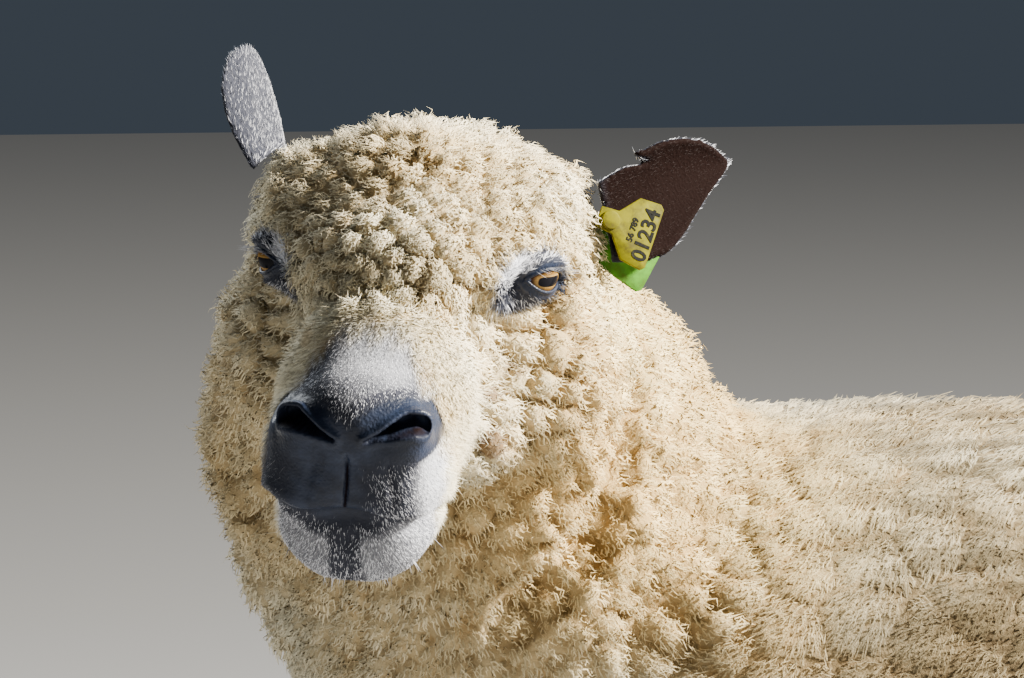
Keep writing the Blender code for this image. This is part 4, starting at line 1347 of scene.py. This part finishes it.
# materials; the colours are as the thing would be in plain daylight, except the painted shade noted below
woolColours = {
    "cream": (0.76, 0.62, 0.36),
    "pale": (0.84, 0.76, 0.53),
    "gold": (0.63, 0.44, 0.19),
    "neck": (1.0, 0.87, 0.60),  # over the neck, behind the left cheek
    # painted shade in the fleece's fissures and low on the flank, with the body's own duller tone
    "streak": (0.19, 0.175, 0.145),
    # painted shade at the roots of the wool and in the hollows between lumps
    "root": (0.36, 0.28, 0.18),
    "dirtAndShade": (0.12, 0.065, 0.03),
    "hairPale": (0.74, 0.75, 0.80),
    "hairDark": (0.030, 0.033, 0.048),
    "leather": (0.005, 0.008, 0.018),
    "leatherWorn": (0.018, 0.026, 0.050),
    # near black: painted shade in the creases and nostrils, and the ear cup's own dark brown deepened with painted
    # shade
    "hollow": (0.006, 0.0026, 0.002),
}


class Shading:  # a node tree, and the few kinds of node that the looks are made of
    def __init__(self, tree):
        self.tree = tree

    def feed(self, socket, value):  # a link, or a plain value
        if isinstance(value, bpy.types.NodeSocket):
            self.tree.links.new(value, socket)
        else:
            socket.default_value = (*value, 1.0) if socket.type == "RGBA" and np.shape(value) == (3,) else value

    def made(self, kind, *values, **settings):
        node = self.tree.nodes.new("ShaderNode" + kind)
        for name, value in settings.items():
            setattr(node, name, value)
        for socket, value in zip(node.inputs, values):
            self.feed(socket, value)
        return node

    def worked(self, operation, a, b=0.0, clamp=False):
        return self.made("Math", a, b, operation=operation, use_clamp=clamp).outputs[0]

    def plus(self, a, b, clamp=False):
        return self.worked("ADD", a, b, clamp)

    def minus(self, a, b):
        return self.worked("SUBTRACT", a, b)

    def times(self, a, b):
        return self.worked("MULTIPLY", a, b)

    def eased(self, *values):  # the value, from low and high, to 0 and 1 or two others
        return self.made("MapRange", *values, interpolation_type="SMOOTHSTEP").outputs[0]

    def mixed(self, share, a, b, blend="MIX"):
        node = self.made("Mix", share, data_type="RGBA", blend_type=blend)
        self.feed(node.inputs[6], a)
        self.feed(node.inputs[7], b)
        return node.outputs[2]

    def tinted(self, colour, tint):
        return self.mixed(1.0, colour, tint, "MULTIPLY")

    def noise(self, where, scale, detail=2.0, roughness=0.5):
        node = self.made("TexNoise", where)
        for name, value in (("Scale", scale), ("Detail", detail), ("Roughness", roughness)):
            node.inputs[name].default_value = value
        return node.outputs[0]

    def parts(self, vector):
        return self.made("SeparateXYZ", vector).outputs

    def attribute(self, title):
        return self.made("Attribute", attribute_name=title).outputs

    def place(self):
        return self.made("TexCoord").outputs["Object"]

    def bumped(self, height, strength, distance):
        node = self.made("Bump")
        node.inputs["Strength"].default_value = strength
        node.inputs["Distance"].default_value = distance
        self.feed(node.inputs["Height"], height)
        return node.outputs[0]


def newMaterial(title, **settings):  # its shading and its shader's sockets, constants set on the sockets themselves
    material = bpy.data.materials.new(title)
    material.use_nodes = True
    sockets = material.node_tree.nodes["Principled BSDF"].inputs
    for name, value in settings.items():
        sockets[name.replace("_", " ")].default_value = value
    return material, Shading(material.node_tree), sockets


def makeCoatColours():  # wool, short hair and leather from the marks; used by the skin and all that grows on it
    group = bpy.data.node_groups.new("coatColours", "ShaderNodeTree")
    for way, sockets in (("INPUT", {"Marks": "Color", "Leather": "Float", "Strand": "Vector", "Place": "Vector"}),
                         ("OUTPUT", {"Colour": "Color", "Wool": "Float", "Leather": "Float", "Dark": "Float"})):
        for name, kind in sockets.items():
            group.interface.new_socket(name=name, in_out=way, socket_type="NodeSocket" + kind)
    given = group.nodes.new("NodeGroupInput").outputs
    result = group.nodes.new("NodeGroupOutput").inputs
    g = Shading(group)
    fleece, paleness, dirtAndShade = g.made("SeparateColor", given["Marks"]).outputs
    # tip carries painted shade on wool and skin, darker at the roots and in hollows
    tip, tuft, lock = g.parts(given["Strand"])
    wide = g.noise(given["Place"], 9.0, 3.0)
    fine = g.noise(given["Place"], 55.0, 3.0, 0.6)
    wool = g.mixed(g.eased(wide, 0.38, 0.62), woolColours["cream"], woolColours["pale"])
    wool = g.mixed(g.times(g.eased(fine, 0.52, 0.72), 0.55), wool, woolColours["gold"])
    along = g.made("Mapping", given["Place"])
    along.inputs["Rotation"].default_value = (0, math.radians(56), 0)
    along.inputs["Scale"].default_value = (20, 75, 90)
    # dark streaks along the body's fleece: partly its own duller tone, partly painted shade in its fissures
    streaks = g.eased(g.noise(along.outputs[0], 1.0, 3.0, 0.6), 0.40, 0.60, 0.0, 0.5)
    x, _, z = g.parts(given["Place"])
    streaks = g.plus(streaks, g.eased(z, 0.78, 0.44, 0.38, 0.92), True)  # painted shade: the fleece darker low down on the flank
    streaks = g.times(streaks, g.eased(x, -0.36, -0.12))  # and behind the neck
    wool = g.mixed(streaks, wool, g.tinted(wool, woolColours["streak"]))
    away = g.made("VectorMath", given["Place"], fromHead((-80, 100, -115)), operation="DISTANCE").outputs["Value"]
    wool = g.mixed(g.eased(away, 0.17, 0.07), wool, g.tinted(wool, woolColours["neck"]))
    shade = g.plus(g.plus(g.times(tuft, 0.20), g.times(lock, 0.24)), 0.70)
    wool = g.tinted(wool, shade)
    # painted shade: the wool darkens towards its roots and in the hollows between lumps
    rootShade = g.eased(tip, 0.05, 0.55, 1.0, 0.0)
    wool = g.mixed(g.times(rootShade, 0.85), wool, g.tinted(wool, woolColours["root"]))
    # the wool's dirt spots and fine specks; the same marks also carry the painted shade of the creases
    grain = g.eased(g.plus(dirtAndShade, g.times(fine, 0.8)), 0.75, 1.15)
    wool = g.mixed(g.times(grain, 0.85), wool, woolColours["dirtAndShade"])
    light = g.eased(g.minus(paleness, tuft), -0.24, 0.24)
    hair = g.mixed(light, woolColours["hairDark"], woolColours["hairPale"])
    # painted shade: the short hair darker towards its roots, and the skin between hairs darker too
    hair = g.tinted(hair, g.eased(tip, 0.0, 0.9, 0.62, 1.0))
    bare = g.mixed(g.eased(fine, 0.35, 0.70), woolColours["leather"], woolColours["leatherWorn"])
    # near black where the marks carry painted shade in the creases and nostrils, and in the ear's cup
    bare = g.mixed(dirtAndShade, bare, woolColours["hollow"])
    colour = g.mixed(given["Leather"], g.mixed(fleece, hair, wool), bare)
    for name, value in (("Colour", colour), ("Wool", fleece), ("Leather", given["Leather"]), ("Dark", dirtAndShade)):
        g.feed(result[name], value)
    return group


coatColours = makeCoatColours()


def coatOutputs(m):
    node = m.made("Group", node_tree=coatColours)
    marks = m.attribute("marks")
    for name, value in (("Marks", marks["Color"]), ("Leather", marks["Alpha"]),
                        ("Strand", m.attribute("strand")["Vector"]), ("Place", m.place())):
        m.feed(node.inputs[name], value)
    return node.outputs


def makeWoolMaterial():
    material, m, shader = newMaterial("wool", Roughness=0.88, Sheen_Weight=0.08, Sheen_Roughness=0.5,
                                      Specular_IOR_Level=0.2)
    m.feed(shader["Base Color"], coatOutputs(m)["Colour"])
    m.feed(shader["Normal"], m.bumped(m.noise(m.place(), 900.0, 3.0, 0.65), 0.6, 0.0008))
    return material


def makeHairMaterial():
    material, m, shader = newMaterial("short_hair", Roughness=0.65, Specular_IOR_Level=0.15)
    m.feed(shader["Base Color"], coatOutputs(m)["Colour"])
    return material


def makeSkinMaterial():
    material, m, shader = newMaterial("skin")
    coat = coatOutputs(m)
    m.feed(shader["Base Color"], coat["Colour"])
    place = m.place()
    pebbles = m.made("TexVoronoi", place)
    pebbles.inputs["Scale"].default_value = 620.0
    height = m.plus(m.times(pebbles.outputs["Distance"], 0.8), m.noise(place, 900.0, 2.0))
    fibres = m.times(m.noise(place, 420.0, 4.0, 0.7), 6.0)
    height = m.plus(height, m.times(fibres, coat["Wool"]))
    m.feed(shader["Normal"], m.bumped(height, 0.45, 0.0005))
    wet = m.times(coat["Leather"], m.eased(m.noise(place, 60.0, 2.0), 0.3, 0.7, 0.36, 0.52))
    wet = m.times(wet, m.minus(1.0, coat["Dark"]))
    m.feed(shader["Roughness"], m.minus(0.85, wet))
    m.feed(shader["Specular IOR Level"], m.eased(coat["Dark"], 0.0, 0.6, 0.22, 0.03))
    return material


def makeEyeMaterial():
    material, m, shader = newMaterial("eye", Roughness=0.3, Specular_IOR_Level=0.0, Coat_Weight=0.15,
                                      Coat_Roughness=0.03)
    x, y, depth = m.parts(m.attribute("iris")["Vector"])
    radius = m.worked("SQRT", m.plus(m.times(x, x), m.times(y, y)))
    tilt = math.radians(eyePlan["slotTilt"])
    along = m.plus(m.times(x, math.cos(tilt)), m.times(y, math.sin(tilt)))
    up = m.minus(m.times(y, math.cos(tilt)), m.times(x, math.sin(tilt)))
    long, high = eyePlan["slot"]
    longShare = m.worked("POWER", m.worked("ABSOLUTE", m.worked("DIVIDE", along, long)), 4.0)
    highShare = m.worked("POWER", m.worked("ABSOLUTE", m.worked("DIVIDE", up, high)), 3.0)
    slotShare = m.plus(longShare, highShare)
    rays = m.made("CombineXYZ", m.times(m.worked("ARCTAN2", y, x), 6.0), m.times(radius, 0.35))
    streaks = m.noise(rays.outputs[0], 2.2, 3.0, 0.6)
    golden = m.mixed(m.eased(streaks, 0.35, 0.68), (0.10, 0.048, 0.010), (0.26, 0.135, 0.03))
    golden = m.mixed(m.eased(slotShare, 1.0, 4.0, 0.55, 0.0), golden, (0.38, 0.24, 0.08))
    # painted shadow of the upper lid over the top of the iris
    golden = m.mixed(m.eased(y, 2.2, 6.5, 0.0, 0.8), golden, (0.035, 0.016, 0.008))
    edge = eyePlan["irisRadius"]
    golden = m.mixed(m.eased(radius, edge - 2.6, edge), golden, (0.03, 0.012, 0.006))
    white = m.mixed(streaks, (0.05, 0.03, 0.022), (0.12, 0.08, 0.06))
    golden = m.mixed(m.eased(radius, edge - 0.1, edge + 0.8), golden, white)
    slot = m.times(m.eased(slotShare, 0.85, 1.2, 1.0, 0.0), m.worked("GREATER_THAN", depth, 0.0))
    m.feed(shader["Base Color"], m.mixed(slot, golden, (0.004, 0.004, 0.006)))
    return material


def makeHornMaterial():
    material, m, shader = newMaterial("horn", Specular_IOR_Level=0.4)
    place = m.place()
    blotch = m.noise(place, 70.0, 4.0)
    rings = m.made("TexWave", place, bands_direction="Z")
    for name, value in (("Scale", 95.0), ("Distortion", 3.0), ("Detail", 2.0)):
        rings.inputs[name].default_value = value
    colour = m.mixed(m.eased(blotch, 0.35, 0.7), (0.035, 0.028, 0.023), (0.13, 0.10, 0.075))
    worn = m.eased(m.parts(place)[2], 0.012, 0.0, 0.0, 0.55)
    m.feed(shader["Base Color"], m.mixed(worn, colour, (0.24, 0.19, 0.14)))
    m.feed(shader["Roughness"], m.eased(blotch, 0.3, 0.7, 0.42, 0.62))
    m.feed(shader["Normal"], m.bumped(rings.outputs["Fac"], 0.35, 0.0006))
    return material


def makeTagMaterial(title, fresh, dull, dirtiness):
    material, m, shader = newMaterial(title, Specular_IOR_Level=0.05)
    place = m.place()
    blotch = m.noise(place, 120.0, 4.0, 0.6)
    grime = m.noise(place, 420.0, 3.0, 0.6)
    colour = m.mixed(m.eased(blotch, 0.35, 0.65), fresh, dull)
    soiled = m.times(m.eased(m.plus(blotch, m.times(grime, 0.5)), 0.70, 1.0), dirtiness)
    m.feed(shader["Base Color"], m.mixed(soiled, colour, (0.055, 0.045, 0.010)))
    m.feed(shader["Roughness"], m.eased(grime, 0.3, 0.7, 0.5, 0.7))
    m.feed(shader["Normal"], m.bumped(grime, 0.15, 0.0003))
    return material


def makeInkMaterial():
    material, m, shader = newMaterial("tag_ink", Roughness=0.7, Specular_IOR_Level=0.1)
    worn = m.eased(m.noise(m.place(), 500.0, 2.0), 0.55, 0.75)
    m.feed(shader["Base Color"], m.mixed(worn, (0.004, 0.004, 0.003), (0.02, 0.018, 0.006)))
    return material


def finishWith(material, *pieces):
    for piece in pieces:
        piece.data.materials.clear()
        piece.data.materials.append(material)


finishWith(makeWoolMaterial(), *woolPieces)
finishWith(makeHairMaterial(), *hairPieces)
finishWith(makeSkinMaterial(), skin)
finishWith(makeEyeMaterial(), *eyePieces)
finishWith(makeTagMaterial("tag_front_plastic", (0.13, 0.12, 0.0005), (0.075, 0.07, 0.001), 0.85), tagFront, tagStud)
finishWith(makeTagMaterial("tag_back_plastic", (0.06, 0.19, 0.012), (0.04, 0.13, 0.012), 0.5), tagBack)
finishWith(makeInkMaterial(), *numbers)
hornMaterial = makeHornMaterial()
for name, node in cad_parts.items():
    if name.startswith(("hoof", "dewclaw")):
        for slot in node.material_slots:
            slot.link = "OBJECT"
            slot.material = hornMaterial
print("materials made")


# floor and light; a light's place is its angle to the right of the camera and above the floor, and its distance
stagePlan = {
    "floor": 30.0,
    "floorColour": (0.26, 0.26, 0.26, 1.0),
    "key": {"place": (86.0, 31.0, 8.0), "size": 1.2, "power": 6400.0, "colour": (1.0, 0.95, 0.86)},
    "fill": {"place": (-150.0, 35.0, 4.0), "size": 3.0, "power": 170.0, "colour": (0.90, 0.95, 1.0)},
    "world": (0.62, 0.78, 1.0, 1.0),
    "worldStrength": 0.07,
}


def makeFloor():
    floor = added("plane", size=stagePlan["floor"])
    floor.name = "floor"
    material, _, shader = newMaterial("floor", Roughness=0.9)
    shader["Base Color"].default_value = stagePlan["floorColour"]
    finishWith(material, floor)


def makeLight(title):
    plan = stagePlan[title]
    aside, above, distance = plan["place"]
    way = wayBack(cameraPlan["azimuth"] + aside, above)
    light = linked(title, bpy.data.lights.new(title, "AREA"))
    light.data.shape = "DISK"
    light.data.size = plan["size"]
    light.data.energy = plan["power"]
    light.data.color = plan["colour"]
    light.location = Vector(browPoint) + way * distance
    light.rotation_euler = way.to_track_quat("Z", "Y").to_euler()


def makeWorld():
    world = bpy.data.worlds.new("studio")
    world.use_nodes = True
    background = world.node_tree.nodes["Background"]
    background.inputs["Color"].default_value = stagePlan["world"]
    background.inputs["Strength"].default_value = stagePlan["worldStrength"]
    bpy.context.scene.world = world


makeFloor()
makeLight("key")
makeLight("fill")
makeWorld()
print("light set")


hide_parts(*skinPlan["flesh"], "ear_left", "ear_right")
for piece in (skin, *woolPieces, *hairPieces, *eyePieces, tagFront, tagBack, tagStud, *numbers):
    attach(piece, "root")
